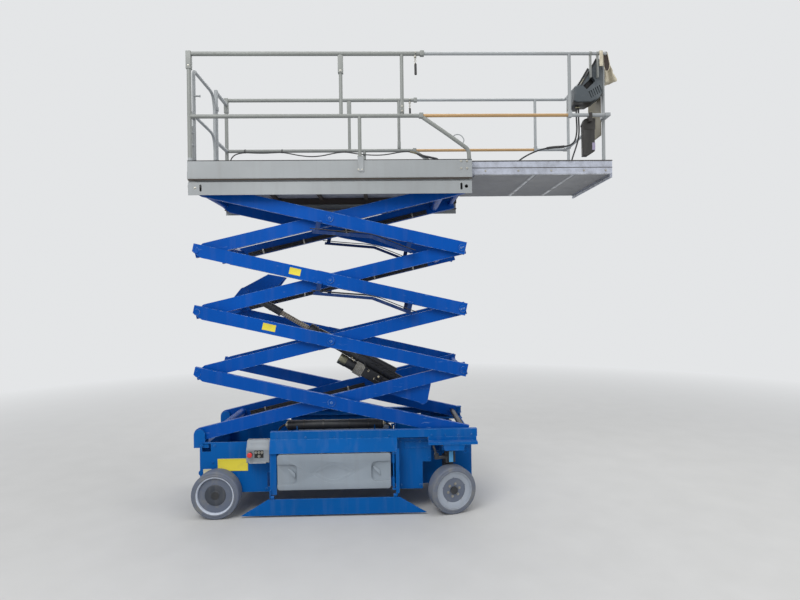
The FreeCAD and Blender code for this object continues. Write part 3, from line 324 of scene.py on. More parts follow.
groups = {"agedCoat": makeAgedCoat(), "mouldGrain": makeMouldGrain(), "brushed": makeBrushed(),
          "treadLugs": makeTreadLugs(), "weave": makeWeave()}
print("effects")


# Materials

def makeMaterial(name, groupName, values, bump=0.12, metallic=0.0, **plain):
    material = bpy.data.materials.new(name)
    material.use_nodes = True
    tree = material.node_tree
    shader = tree.nodes["Principled BSDF"]
    group = tree.nodes.new("ShaderNodeGroup")
    group.node_tree = groups[groupName]
    for label, value in values.items():
        group.inputs[label].default_value = value
    tree.links.new(group.outputs["Color"], shader.inputs["Base Color"])
    if "Roughness" in group.outputs:
        tree.links.new(group.outputs["Roughness"], shader.inputs["Roughness"])
    relief = wire(tree, "Bump", {"Strength": bump, "Distance": 0.001, "Height": group.outputs["Height"]})
    tree.links.new(relief.outputs["Normal"], shader.inputs["Normal"])
    shader.inputs["Metallic"].default_value = metallic
    for label, value in plain.items():
        shader.inputs[label.replace("_", " ")].default_value = value
    return material


def coat(name, paint, worn, wear, dustiness, gloss=0.42, dust=(150, 146, 138), **more):
    return makeMaterial(name, "agedCoat", {"Paint": srgb(*paint), "Worn": srgb(*worn), "Dust": srgb(*dust),
                                           "Wear": wear, "Dustiness": dustiness, "Gloss": gloss}, **more)


def mould(name, base, scuff, amount=0.5, gloss=0.6, grain=420.0, **more):
    return makeMaterial(name, "mouldGrain", {"Base": srgb(*base), "Scuff": srgb(*scuff), "Amount": amount,
                                             "Grain": grain, "Gloss": gloss}, **more)


def metal(name, shade, stain=(92, 84, 74), amount=0.4, gloss=0.35, **more):
    return makeMaterial(name, "brushed", {"Metal": srgb(*shade), "Stain": srgb(*stain), "Amount": amount,
                                          "Gloss": gloss}, metallic=1.0, **more)


materials = {
    # on the two blue coats the worn colour is a paler blue: their worn edges are partly real wear and partly
    # a painted highlight
    "frame_blue": coat("frameBlue", (2, 88, 162), (104, 150, 192), 0.5, 0.14, 0.42, Specular_IOR_Level=0.1),
    "arm_blue": coat("armBlue", (0, 74, 160), (150, 180, 208), 0.85, 0.08, 0.38, Specular_IOR_Level=0.1),
    "platform_grey": coat("platformGrey", (144, 148, 150), (100, 94, 86), 0.45, 0.3, 0.5, (118, 114, 106)),
    "cover_grey": coat("coverGrey", (140, 150, 160), (182, 188, 192), 0.4, 0.35, 0.5, (118, 114, 108)),
    "rubber_grey": mould("rubberGrey", (98, 106, 120), (146, 140, 124), 0.55, 0.8, 240.0, bump=0.3),
    "rim_paint": coat("rimPaint", (152, 160, 172), (96, 96, 94), 0.4, 0.4, 0.42),
    "black_steel": coat("blackSteel", (40, 42, 46), (92, 90, 88), 0.5, 0.4, 0.45, (96, 92, 86)),
    "bright_steel": metal("brightSteel", (150, 143, 134), amount=0.35, gloss=0.28),
    "deck_metal": makeMaterial("deckMetal", "brushed", {"Metal": srgb(176, 181, 194), "Amount": 0.6,
                                                        "Gloss": 0.42, "Stain": srgb(112, 112, 116)},
                               metallic=0.25),
    "box_grey": coat("boxGrey", (134, 141, 148), (170, 172, 172), 0.45, 0.4, 0.45),
    "block_grey": coat("blockGrey", (70, 72, 78), (110, 108, 104), 0.5, 0.6, 0.6),
    "black_plastic": mould("blackPlastic", (27, 25, 23), (72, 66, 58), 0.35, 0.55),
    "cable_black": mould("cableBlack", (26, 27, 30), (70, 70, 70), 0.35, 0.5),
}
materials["canvas"] = makeMaterial("canvas", "weave", {"Cloth": srgb(206, 198, 176),
                                                       "Soil": srgb(128, 114, 92), "Amount": 0.5},
                                   bump=0.4, Roughness=0.9, Sheen_Weight=0.2)


def addTread(material):
    # Raised lozenges on top of the metal's own relief
    tree = material.node_tree
    bump = next(node for node in tree.nodes if node.type == "BUMP")
    fine = bump.inputs["Height"].links[0].from_socket
    tread = tree.nodes.new("ShaderNodeGroup")
    tread.node_tree = groups["treadLugs"]
    both = compute(tree, "MULTIPLY_ADD", tread.outputs["Height"], 3.0, fine)
    tree.links.new(both, bump.inputs["Height"])
    bump.inputs["Strength"].default_value = 0.4


addTread(materials["deck_metal"])


def dressNodes():
    for part in frame["record"]["subparts"]:
        mesh = nodes[part["node"]].data
        mesh.materials.clear()
        mesh.materials.append(materials[part["material_slot"]])


dressNodes()
print("materials")


# Modelling steps

def only(piece):
    bpy.ops.object.select_all(action="DESELECT")
    piece.select_set(True)
    bpy.context.view_layer.objects.active = piece


def apply(piece):
    only(piece)
    bpy.ops.object.transform_apply(location=True, rotation=True, scale=True)
    return piece


def block(x, y, z):
    low, high = place(x[0], y[0], z[0]), place(x[1], y[1], z[1])
    bpy.ops.object.select_all(action="DESELECT")
    bpy.ops.mesh.primitive_cube_add(size=1, location=(low + high) / 2)
    piece = bpy.context.object
    piece.scale = high - low
    return apply(piece)


def drum(start, end, radius, vertices=32, tip=None):
    start, end = place(*start), place(*end)
    along = end - start
    bpy.ops.object.select_all(action="DESELECT")
    bpy.ops.mesh.primitive_cone_add(vertices=vertices, radius1=radius / 1000, radius2=(tip or radius) / 1000,
                                    depth=along.length, location=(start + end) / 2,
                                    rotation=along.to_track_quat("Z", "Y").to_euler())
    return apply(bpy.context.object)


def sideOutline(points, across):
    # A flat plate with an outline in the side view, between two lateral places
    low, high = across
    bpy.ops.object.select_all(action="DESELECT")
    bpy.ops.mesh.primitive_circle_add(vertices=len(points), radius=1, fill_type="NGON", location=(0, 0, 0))
    piece = bpy.context.object
    for vertex, (x, z) in zip(piece.data.vertices, points):
        vertex.co = place(x, high, z)
    only(piece)
    bpy.ops.object.mode_set(mode="EDIT")
    bpy.ops.mesh.select_all(action="SELECT")
    bpy.ops.mesh.extrude_region_move(TRANSFORM_OT_translate={"value": (0, (low - high) / 1000, 0)})
    bpy.ops.mesh.select_all(action="SELECT")
    bpy.ops.mesh.normals_make_consistent(inside=False)
    bpy.ops.object.mode_set(mode="OBJECT")
    return piece


def modify(piece, kind, **settings):
    only(piece)
    modifier = piece.modifiers.new("step", kind)
    for name, value in settings.items():
        setattr(modifier, name, value)
    bpy.ops.object.modifier_apply(modifier="step")
    return piece


def roundEdges(piece, width, segments=2, angle=35):
    return modify(piece, "BEVEL", width=width / 1000, segments=segments, limit_method="ANGLE",
                  angle_limit=math.radians(angle))


def roundBlock(x, y, z, width, segments):
    return roundEdges(block(x, y, z), width, segments)


def roundDrum(start, end, radius, vertices, width, segments):
    return roundEdges(drum(start, end, radius, vertices), width, segments)


def roundPlate(points, between, width, segments):
    return roundEdges(sideOutline(points, between), width, segments)


def carve(piece, *tools):
    for tool in tools:
        modify(piece, "BOOLEAN", object=tool, operation="DIFFERENCE", solver="EXACT")
        bpy.data.objects.remove(tool)
    return piece


def edit(piece, test, *steps):
    only(piece)
    bpy.ops.object.mode_set(mode="EDIT")
    bpy.ops.mesh.select_mode(type="FACE")
    bpy.ops.mesh.select_all(action="DESELECT")
    bpy.ops.object.mode_set(mode="OBJECT")
    for face in piece.data.polygons:
        face.select = test(face)
    bpy.ops.object.mode_set(mode="EDIT")
    for step, settings in steps:
        step(**settings)
    bpy.ops.object.mode_set(mode="OBJECT")
    return piece


def nearFace(face):
    return face.normal.y < -0.99


def crossFace(face):
    return abs(face.normal.y) > 0.99


def inset(thickness, depth=0.0):
    return bpy.ops.mesh.inset, {"thickness": thickness / 1000, "depth": depth / 1000}


def joined(pieces):
    bpy.ops.object.select_all(action="DESELECT")
    for piece in pieces:
        piece.select_set(True)
    bpy.context.view_layer.objects.active = pieces[0]
    bpy.ops.object.join()
    return bpy.context.object


def paint(piece, look, test):
    piece.data.materials.append(materials[look])
    index = len(piece.data.materials) - 1
    for face in piece.data.polygons:
        if test(face):
            face.material_index = index


def finish(pieces, name, look, body, smooth=35):
    piece = apply(joined(pieces) if isinstance(pieces, list) else pieces)
    piece.name = name
    piece.data.name = name
    bpy.ops.object.shade_smooth_by_angle(angle=math.radians(smooth))
    piece.data.materials.clear()
    piece.data.materials.append(materials[look])
    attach(piece, body)
    return piece


def copied(piece, name, change, body):
    twin = piece.copy()
    twin.data = piece.data.copy()
    bpy.context.scene.collection.objects.link(twin)
    twin.parent = None
    twin.matrix_world = Matrix.Identity(4)
    twin.data.transform(change)
    if change.determinant() < 0:
        twin.data.flip_normals()
    twin.name = name
    twin.data.name = name
    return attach(twin, body)


def roundCurve(name, points, radius):
    # An open curve through the pull of its points, with a round section
    curve = bpy.data.curves.new(name, "CURVE")
    curve.dimensions = "3D"
    spline = curve.splines.new("NURBS")
    spline.points.add(len(points) - 1)
    for point, spot in zip(spline.points, points):
        point.co = (*place(*spot), 1)
        point.radius = radius / 1000
    spline.order_u = 3
    spline.use_endpoint_u = True
    spline.resolution_u = 10
    curve.bevel_depth = 1
    curve.bevel_resolution = 6
    curve.use_fill_caps = True
    piece = bpy.data.objects.new(name, curve)
    bpy.context.scene.collection.objects.link(piece)
    return piece


def tube(points, radius):
    only(roundCurve("tube", points, radius))
    bpy.ops.object.convert(target="MESH")
    return bpy.context.object


def across(side, low, high):
    # The span between two distances from the middle, on one hand
    return sorted((low * side, high * side))


def hexBolt(spot, axis, size=13, height=8, washer=True):
    # A hexagon head with a chamfered crown on a washer, standing out from spot along axis
    spot, axis = Vector(spot), Vector(axis)
    head = drum(spot, spot + axis * height, size * 0.577, 6)
    towards = axis.normalized()
    edit(head, lambda face: face.normal.dot(towards) > 0.9, inset(size * 0.07), inset(size * 0.12, 0.8))
    if washer:
        head = joined([head, roundDrum(spot, spot + axis * 2, size * 0.85, 24, 0.6, 1)])
    return head


acrossY = Matrix.Scale(-1, 4, (0, 1, 0))


def turnedAbout(spot, axis, degrees):
    spot = place(*spot)
    turn = Matrix.Rotation(math.radians(degrees), 4, axis)
    return Matrix.Translation(spot) @ turn @ Matrix.Translation(-spot)


materials.update({
    "tyreSide": mould("tyreSide", (98, 106, 122), (150, 144, 126), 0.5, 0.8, 240.0, bump=0.25),
    "capGrey": coat("capGrey", (52, 58, 68), (96, 98, 100), 0.5, 0.4, 0.5),
    "hubDark": coat("hubDark", (20, 23, 24), (66, 68, 68), 0.35, 0.25, 0.55, (60, 58, 54)),
    "railGrey": coat("railGrey", (124, 127, 124), (92, 88, 80), 0.45, 0.35, 0.5, (108, 106, 98)),
    # a paler copy of the rim paint: painted light for the rear rim's recessed face
    "rimPale": coat("rimPale", (196, 204, 218), (120, 120, 118), 0.4, 0.35, 0.45),
    # underShade: dark brown painted shade for the underside between the beams and the strip under the toe
    # board
    "underShade": coat("underShade", (58, 50, 44), (96, 76, 58), 0.5, 0.3, 0.7, (80, 70, 60)),
    "underGrey": coat("underGrey", (122, 124, 128), (92, 92, 92), 0.4, 0.3, 0.6),
    # a darker copy of the arm blue: painted shade for the bent bars under the upper arms
    "bridgeShadedBlue": coat("bridgeShadedBlue", (0, 40, 92), (70, 100, 140), 0.5, 0.2, 0.45, Specular_IOR_Level=0.25),
    "zinc": metal("zinc", (176, 174, 166), amount=0.5, gloss=0.4),
    "darkBolt": metal("darkBolt", (84, 84, 84), (70, 60, 50), 0.5, 0.45),
    "bareSteel": metal("bareSteel", (186, 190, 196), (110, 108, 106), 0.75, 0.34),
    "brownSteel": coat("brownSteel", (166, 134, 92), (120, 92, 60), 0.7, 0.4, 0.5, (150, 126, 96)),
    "consoleGrey": mould("consoleGrey", (64, 71, 76), (112, 118, 120), 0.45, 0.55, 300.0),
    "consoleDark": mould("consoleDark", (22, 22, 22), (66, 64, 60), 0.4, 0.5),
    "redKnob": mould("redKnob", (206, 48, 48), (232, 120, 110), 0.4, 0.4, 200.0, Coat_Weight=0.3),
    "olivePanel": coat("olivePanel", (104, 98, 76), (132, 124, 100), 0.5, 0.6, 0.6, (118, 110, 90)),
    "yellowLabel": mould("yellowLabel", (222, 206, 60), (170, 156, 92), 0.45, 0.5, 120.0, bump=0.05),
    "paleLabel": mould("paleLabel", (214, 208, 176), (150, 140, 118), 0.55, 0.5, 120.0, bump=0.05),
    "cyanSteel": coat("cyanSteel", (74, 150, 200), (150, 180, 200), 0.6, 0.4, 0.4),
    "hoseBlack": mould("hoseBlack", (30, 31, 34), (78, 76, 74), 0.4, 0.45, 600.0),
    "brass": metal("brass", (206, 196, 168), (120, 110, 84), 0.3, 0.3),
    "oliveSteel": metal("oliveSteel", (150, 148, 126), (84, 80, 66), 0.5, 0.4),
    "strapDark": mould("strapDark", (46, 36, 30), (92, 74, 58), 0.5, 0.8, 500.0, bump=0.3),
    "lilacLabel": mould("lilacLabel", (140, 132, 158), (168, 160, 176), 0.4, 0.5, 120.0, bump=0.05),
})


def makeRodLook():
    # Pale wrapped rod: dark turns across its length, which slopes in the side view
    look = metal("rodWrap", (168, 158, 142), (96, 88, 76), 0.4, 0.4)
    tree = look.node_tree
    shader = tree.nodes["Principled BSDF"]
    color = shader.inputs["Base Color"].links[0].from_socket
    coords = wire(tree, "TexCoord").outputs["Object"]
    along = vector(tree, "DOT_PRODUCT", coords, (-0.86, 0, 0.51), output="Value")
    turns = compute(tree, "SINE", compute(tree, "MULTIPLY", along, 285.0))
    band = ranged(tree, turns, 0.35, 0.8)
    tree.links.new(blendColor(tree, band, color, srgb(104, 96, 84)), shader.inputs["Base Color"])
    shader.inputs["Metallic"].default_value = 0.3
    return look


materials["rodWrap"] = makeRodLook()


# Cables, along the routes of the CAD model's tubes

cables = {
    "railCable": {"node": "rail_cable", "body": "platform", "radius": 6, "length": 3.176, "route": (
        (-1203, 528, 3040), (-1203, 528, 3170), (-1204, 530, 3320), (-1196, 532, 3450), (-1150, 535, 3522),
        (-1040, 536, 3545), (-930, 536, 3538), (-820, 536, 3536), (-720, 536, 3541), (-631, 536, 3545),
        (-540, 536, 3529), (-440, 536, 3508), (-316, 536, 3494), (-200, 536, 3503), (-110, 536, 3522),
        (-30, 536, 3538), (61, 536, 3545), (140, 534, 3532), (215, 528, 3518), (320, 527, 3508),
        (410, 530, 3506), (500, 534, 3512), (590, 536, 3528), (670, 536, 3542), (757, 534, 3546),
        (830, 528, 3526), (910, 527, 3494), (1000, 527, 3476), (1086, 526, 3456), (1146, 527, 3396),
        (1170, 527, 3305), (1176, 528, 3210), (1174, 527, 3130), (1174, 527, 3058))},
    "consoleCable": {"node": "console_cable", "body": "extension", "radius": 7, "length": 0.992, "route": (
        (2256, -456, 3660), (2256, -456, 3570), (2262, -455, 3465), (2250, -450, 3375), (2214, -448, 3325),
        (2130, -450, 3307), (2030, -453, 3303), (1930, -451, 3286), (1840, -448, 3253), (1762, -450, 3212),
        (1700, -453, 3165), (1664, -456, 3118), (1664, -456, 3076))},
    "deckCable": {"node": "deck_cable", "body": "extension", "radius": 7, "length": 0.596, "route": (
        (2276, -456, 3660), (2276, -456, 3570), (2281, -457, 3450), (2268, -462, 3365), (2244, -463, 3290),
        (2218, -459, 3215), (2196, -456, 3140), (2196, -456, 3076))},
}
# (cable, X span, radius, look) of the wrapped stretches, and X places of the clamps on the right mid rail
wraps = (("railCable", (760, 846), 10, "olivePanel"), ("railCable", (846, 1075), 12, "hoseBlack"),
         ("consoleCable", (1975, 2150), 12, "hoseBlack"))
clampPlaces = (-1033, -631, 61, 757)


def cableLine(piece):
    # Points along the cable's middle, in millimetres
    depth = piece.data.bevel_depth
    piece.data.bevel_depth = 0
    line = bpy.data.meshes.new_from_object(piece)
    piece.data.bevel_depth = depth
    points = [vertex.co * 1000 + Vector((680, 0, 0)) for vertex in line.vertices]
    bpy.data.meshes.remove(line)
    return points


def makeCables():
    for name, cable in cables.items():
        piece = roundCurve(name, cable["route"], cable["radius"])
        piece.data.materials.append(materials["cable_black"])
        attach(piece, cable["body"])
        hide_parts(cable["node"])
        line = cableLine(piece)
        for label, (low, high), radius, look in wraps:
            if label == name:
                wrap = tube([spot for spot in line if low <= spot.x <= high], radius)
                finish(wrap, f"{name}Wrap_{low}", look, cable["body"])
        reliefs = []
        for end, ahead in ((cable["route"][0], cable["route"][1]), (cable["route"][-1], cable["route"][-2])):
            end, ahead = Vector(end), Vector(ahead)
            reliefs.append(drum(end, end + (ahead - end).normalized() * 34, 9.4, 32, cable["radius"] + 0.8))
        finish(reliefs, f"{name}Reliefs", "hoseBlack", cable["body"])
    clamps = []
    for x in clampPlaces:
        # where the roll-out rails slide past, the band is a small one round the cable
        band = joined([drum((x - 6, 555, 3563), (x + 6, 555, 3563), 20.5, 40),
                       drum((x - 6, 536, 3544), (x + 6, 536, 3544), 9, 24)] if x < 0 else
                      [drum((x - 6, 536.5, 3544.5), (x + 6, 536.5, 3544.5), 7.5, 24)])
        clamps.append(edit(band, lambda face: True, (bpy.ops.mesh.convex_hull, {})))
    finish(clamps, "railCableClamps", "hoseBlack", "platform")


makeCables()
print("cables")


# Wheels, modelled at the left rear place and copied to the others

wheel = {"x": -1045, "y": -521.5, "z": 210, "radius": 210, "half": 63.5, "rim": 168, "steer": 17,
         "kingpinX": 1045, "kingpinY": 476.5}


def wheelDisc(radius, near, far, vertices=96):
    # A disc about the wheel's axle between two distances outwards from its middle
    x, y, z = wheel["x"], wheel["y"], wheel["z"]
    return drum((x, y - near, z), (x, y - far, z), radius, vertices)


def outward(face):
    return face.normal.y < -0.99 and face.area > 0.004


def makeWheelTyre():
    tyre = roundEdges(wheelDisc(wheel["radius"], -wheel["half"], wheel["half"]), 13, 4)
    for test in (outward, lambda face: face.normal.y > 0.99 and face.area > 0.004):
        edit(tyre, test, inset(5), inset(1.5, -1.5), inset(8, 2.5), inset(2, 1.5), inset(8), inset(1.5, -1.5),
             inset(3.5), inset(0.2, -24))
    return tyre


def makeRearRim():
    rim = wheelDisc(wheel["rim"] - 0.3, 1 - wheel["half"], wheel["half"] - 1)
    edit(rim, outward, inset(2), inset(3, -3), inset(4, 1), inset(3, -3), inset(2, -24), inset(5, -3),
         inset(16, -2), inset(2, -3), inset(34, -4), inset(3, -2), inset(1, 22), inset(5, 5), inset(9, 1.5),
         inset(34, 0.5), inset(3, -1.5), inset(3, 1.5))
    edit(rim, lambda face: face.normal.y > 0.99 and face.area > 0.004, inset(8), inset(2, -20), inset(50, -4))
    return rim


def makeFrontRim():
    rim = wheelDisc(wheel["rim"] - 0.3, 1 - wheel["half"], wheel["half"] - 1)
    edit(rim, outward, inset(2), inset(3, -4), inset(5, 1), inset(2, -10), inset(6, -2), inset(38, -1.5),
         inset(4, -3), inset(1, -34), inset(26), inset(2, 20), inset(6, 7), inset(16, 1), inset(3, -5),
         inset(20), inset(2, 4))
    edit(rim, lambda face: face.normal.y > 0.99 and face.area > 0.004, inset(8), inset(2, -20), inset(50, -4))
    return rim


def wheelBolts(count, radius, out, size, start):
    bolts = []
    for index in range(count):
        angle = math.radians(start + 360 / count * index)
        x, z = wheel["x"] + radius * math.cos(angle), wheel["z"] + radius * math.sin(angle)
        bolts.append(hexBolt((x, wheel["y"] - out, z), (0, -1, 0), size))
    return joined(bolts)


def wheelDistance(face):
    middle = face.center - place(wheel["x"], 0, wheel["z"])
    return math.hypot(middle.x, middle.z) * 1000


def makeWheels():
    tyre = finish(makeWheelTyre(), "wheelTyre", "tyreSide", "wheel_rear_left")
    rear = makeRearRim()
    finish(rear, "wheelRim", "rim_paint", "wheel_rear_left")
    # the recessed face beyond the cap gets the paler copy of the rim paint: painted light against the
    # recess's shade
    paint(rear, "rimPale", lambda face: wheelDistance(face) > 97 and face.center.y < place(0, -520, 0).y)
    paint(rear, "capGrey", lambda face: wheelDistance(face) < 97 and face.center.y < place(0, -520, 0).y)
    front = makeFrontRim()
    notches = []
    for index in range(5):
        angle = 20 + 72 * index
        turn = math.radians(angle)
        x, z = wheel["x"] + 102 * math.cos(turn), wheel["z"] + 102 * math.sin(turn)
        notch = drum((x, wheel["y"] - 15, z), (x, wheel["y"] - 62, z), 16, 3)
        notch.data.transform(turnedAbout((x, 0, z), "Y", 90 - angle))
        notches.append(notch)
    carve(front, joined(notches))
    finish(front, "wheelRimFront", "rim_paint", "wheel_rear_left")
    paint(front, "hubDark", lambda face: wheelDistance(face) < 108 and face.center.y < place(0, -520, 0).y
          and face.center.y > place(0, wheel["y"] - 42, 0).y or wheelDistance(face) < 76)
    bolts = finish(wheelBolts(6, 56, 40, 15, 15), "wheelBolts", "zinc", "wheel_rear_left")
    # dark discs round the rear rim: painted shade standing for the shaded inside of each rim hole
    holeShadeMarks = []
    for index in range(5):
        angle = math.radians(90 + 72 * index)
        x, z = wheel["x"] + 118 * math.cos(angle), wheel["z"] + 118 * math.sin(angle)
        holeShadeMarks.append(drum((x, wheel["y"] - 10, z), (x, wheel["y"] - 26, z), 8, 20))
    holeShades = finish(holeShadeMarks, "wheelLugs", "hubDark", "wheel_rear_left")
    # on the rear wheels the bolts entry holds the dark discs of painted shade
    kinds = {"tyre": (tyre, tyre), "rim": (rear, front), "bolts": (holeShades, bolts)}
    for side, hand in sides:
        for end, ahead in (("rear", 0), ("front", 1)):
            body = f"wheel_{end}_{hand}"
            change = Matrix.Translation(((wheel["kingpinX"] - wheel["x"]) * ahead / 1000, 0, 0))
            if side > 0:
                change = acrossY @ change
            if ahead:
                pivot = (wheel["kingpinX"], wheel["kingpinY"] * side, 0)
                change = turnedAbout(pivot, "Z", wheel["steer"]) @ change
            for kind, models in kinds.items():
                piece = copied(models[ahead], f"{kind}Detail_{end}_{hand}", change, body)
                if kind != "bolts":
                    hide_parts(f"{kind}_{end}_{hand}")
    for model in (tyre, rear, front, bolts, holeShades):
        bpy.data.objects.remove(model)


makeWheels()
print("wheels")


# Module covers: pressed panels with a flap latch in a pocket at each end

cover = {"x": (-500, 508), "z": (239, 555), "out": 560, "inner": 528, "corner": 24,
         "latches": ((-372, 384), (382, 396))}


def makeCover():
    panel = block(cover["x"], (-cover["out"] + 2, -cover["inner"]), cover["z"])
    only(panel)
    bpy.ops.object.mode_set(mode="EDIT")
    bpy.ops.mesh.select_mode(type="EDGE")
    bpy.ops.mesh.select_all(action="DESELECT")
    bpy.ops.object.mode_set(mode="OBJECT")
    for edge in panel.data.edges:
        first, second = (panel.data.vertices[index].co for index in edge.vertices)
        edge.select = abs(first.y - second.y) > 0.01
    bpy.ops.object.mode_set(mode="EDIT")
    bpy.ops.mesh.bevel(offset=cover["corner"] / 1000, segments=5)
    bpy.ops.object.mode_set(mode="OBJECT")
    # crowned face with a shallow swage in the shape of an eye
    edit(panel, nearFace, inset(5, 1.2), inset(9, 0.8))
    swages = []
    for half, rise, depth in ((200, 92, 2.5), (150, 62, 4.5)):
        upper = [(-2 + half * step / 8, 388 + rise * (1 - abs(step / 8) ** 1.7)) for step in range(-8, 9)]
        lower = [(x, 776 - z) for x, z in upper[-2:0:-1]]
        swages.append(sideOutline(upper + lower, (-600, -cover["out"] + depth)))
    pockets = []
    for way, inner, low, high in ((-1, -322, 290, 468), (1, 334, 308, 484)):
        outline = [(inner + x * -way, z) for x, z in
                   ((-240, low), (-40, low), (-16, low + 9), (-4, low + 28), (0, low + 54), (0, high - 50),
                    (-6, high - 24), (-22, high - 7), (-44, high), (-240, high))]
        pocket = sideOutline(outline, (-600, -cover["out"] + 25))
        # the pocket's floor slopes out to the panel's end
        for vertex in pocket.data.vertices:
            if vertex.co.y > place(0, -595, 0).y:
                vertex.co.y -= min(abs(vertex.co.x - place(inner, 0, 0).x) / 0.17, 1.0) * 0.018
        pockets.append(pocket)
    carve(panel, *swages, *pockets)
    roundEdges(panel, 1.2, 2)
    return panel


def makeLatch(x, z):
    flap = sideOutline(((x - 40, z + 44), (x - 22, z + 40), (x + 26, z + 6), (x + 34, z - 26),
                        (x + 22, z - 38), (x + 8, z - 20)), (-556, -538))
    for vertex in flap.data.vertices:
        if vertex.co.x < place(x, 0, 0).x and vertex.co.y < place(0, -545, 0).y:
            vertex.co.y += 0.012
    return roundEdges(flap, 2.5, 2)


def makeCovers():
    panel = finish(makeCover(), "coverPanel_left", "cover_grey", "module_left")
    latches = finish([makeLatch(x, z) for x, z in cover["latches"]], "coverLatches_left", "cover_grey",
                     "module_left")
    for piece in (panel, latches):
        copied(piece, piece.name.replace("left", "right"), acrossY, "module_right")
    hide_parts("module_cover_left")
    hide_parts("module_cover_right")


makeCovers()
print("module covers")


# Ground control box on the left rear panel

groundBox = {"x": (-774, -572), "face": 545, "low": 486, "shoulder": 600, "top": 677, "lidDepth": 500}


def makeGroundBox():
    case = block(groundBox["x"], (-groundBox["face"], -453), (groundBox["low"], groundBox["top"]))
    for vertex in case.data.vertices:
        if vertex.co.z > place(0, 0, 650).z and vertex.co.y < place(0, -520, 0).y:
            vertex.co.y = place(0, -groundBox["lidDepth"], 0).y
    only(case)
    bpy.ops.object.mode_set(mode="EDIT")
    bpy.ops.mesh.select_all(action="SELECT")
    bpy.ops.mesh.bisect(plane_co=place(0, 0, groundBox["shoulder"]), plane_no=(0, 0, 1))
    bpy.ops.object.mode_set(mode="OBJECT")
    for vertex in case.data.vertices:
        atShoulder = abs(vertex.co.z - place(0, 0, groundBox["shoulder"]).z) < 0.001
        if atShoulder and vertex.co.y < place(0, -480, 0).y:
            vertex.co.y = place(0, -groundBox["face"], 0).y
    edit(case, nearFace, inset(7), inset(1.5, -2))
    edit(case, lambda face: face.normal.z > 0.3 and face.normal.y < -0.3,
         inset(6), inset(2, 2), inset(20), inset(3, -1))
    roundEdges(case, 2.5, 3)
    finish(case, "groundBoxCase", "box_grey", "chassis")
    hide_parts("ground_control_box")
    face = -groundBox["face"] + 2
    knob = joined([roundDrum((-738, face, 560), (-738, face - 10, 560), 21, 40, 2, 2),
                   drum((-738, face - 8, 560), (-738, face - 24, 560), 13, 32)])
    finish(knob, "stopCollar", "consoleDark", "chassis")
    button = drum((-738, face - 20, 560), (-738, face - 36, 560), 22, 40)
    edit(button, nearFace, inset(5, 3), inset(8, 1), inset(4, -1))
    finish(roundEdges(button, 2, 3), "stopButton", "redKnob", "chassis")
    panel = roundBlock((-702, -622), (face - 3, face), (528, 596), 2, 2)
    finish(panel, "groundPanel", "consoleDark", "chassis")
    parts = []
    for x, z in ((-688, 576), (-661, 576), (-635, 576)):
        parts.append(hexBolt((x, face - 3, z), (0, -1, 0), 14, 5))
        parts.append(roundBlock((x - 2.5, x + 2.5), (face - 22, face - 6), (z - 9, z + 12), 1.5, 2))
    finish(parts, "groundSwitches", "zinc", "chassis")
    key = joined([roundDrum((-660, face - 2, 544), (-660, face - 8, 544), 12, 32, 1, 2),
                  roundBlock((-662, -658), (face - 26, face - 6), (534, 554), 1.5, 2)])
    finish(key, "groundKey", "zinc", "chassis")
    lidBolts = [hexBolt((x, -groundBox["lidDepth"] + 2, 683), (0, 0.5, 0.86), 9, 4) for x in (-752, -594)]
    finish(lidBolts, "groundBoxBolts", "zinc", "chassis")


makeGroundBox()


# Blank plates and labels: (name, look, x span, z span, depth of the face they lie on)

platesTable = (
    ("rearPlate", "yellowLabel", (-1056, -784), (388, 500), 452),
    ("rearLabel", "paleLabel", (-1186, -1112), (362, 410), 452))


def makePlates():
    for name, look, x, z, face in platesTable:
        plate = block(x, (-face - 2, -face + 1), z)
        edit(plate, nearFace, inset(4), inset(1, -0.6))
        finish(roundEdges(plate, 0.8, 2), f"{name}_left", look, "chassis")
        copied(plate, f"{name}_right", acrossY, "chassis")


makePlates()
print("ground controls and plates")


# Chassis trim: bolts, pressed nose panels, shelf brackets, and the steering motors with hoses and straps

def makeChassisTrim():
    bolts = []
    for x, z in ((-1195, 625), (-1195, 230), (-1080, 620), (-620, 615), (-620, 225), (-1100, 470)):
        bolts.append(hexBolt((x, -452, z), (0, -1, 0), 15, 8))
    for x, z in ((600, 620), (780, 620), (600, 230), (780, 230), (860, 470)):
        bolts.append(hexBolt((x, -452, z), (0, -1, 0), 15, 8))
    for x in (-500, -250, 0, 250, 500):
        bolts.append(hexBolt((x, -530, 700), (0, -1, 0), 11, 5))
    for x in (880, 1000, 1120, 1240):
        bolts.append(hexBolt((x, -530, 700), (0, -1, 0), 11, 5))
    finish(bolts, "chassisBolts_left", "frame_blue", "chassis")
    copied(bpy.data.objects["chassisBolts_left"], "chassisBolts_right", acrossY, "chassis")
    # pressed panel in the side plate beside the bay
    frameBand = block((640, 874), (-456, -451), (565, 624))
    edit(frameBand, nearFace, inset(5), inset(2, -3))
    finish(roundEdges(frameBand, 1.2, 2), "nosePanel_left", "frame_blue", "chassis")
    copied(frameBand, "nosePanel_right", acrossY, "chassis")
    # bracket under the shelf
    bracket = block((972, 1172), (-596, -560), (572, 641))
    for vertex in bracket.data.vertices:
        if vertex.co.z < place(0, 0, 600).z:
            vertex.co.x += 0.018 if vertex.co.x < place(1070, 0, 0).x else -0.012
    edit(bracket, nearFace, inset(6), inset(2, -2))
    finish(roundEdges(bracket, 2, 2), "shelfBracket_left", "frame_blue", "chassis")
    copied(bracket, "shelfBracket_right", acrossY, "chassis")


motorSettings = {"x": 1045, "y": 476, "drums": ((446, 540, 38, 4, 3), (470, 482, 42, 2, 2))}


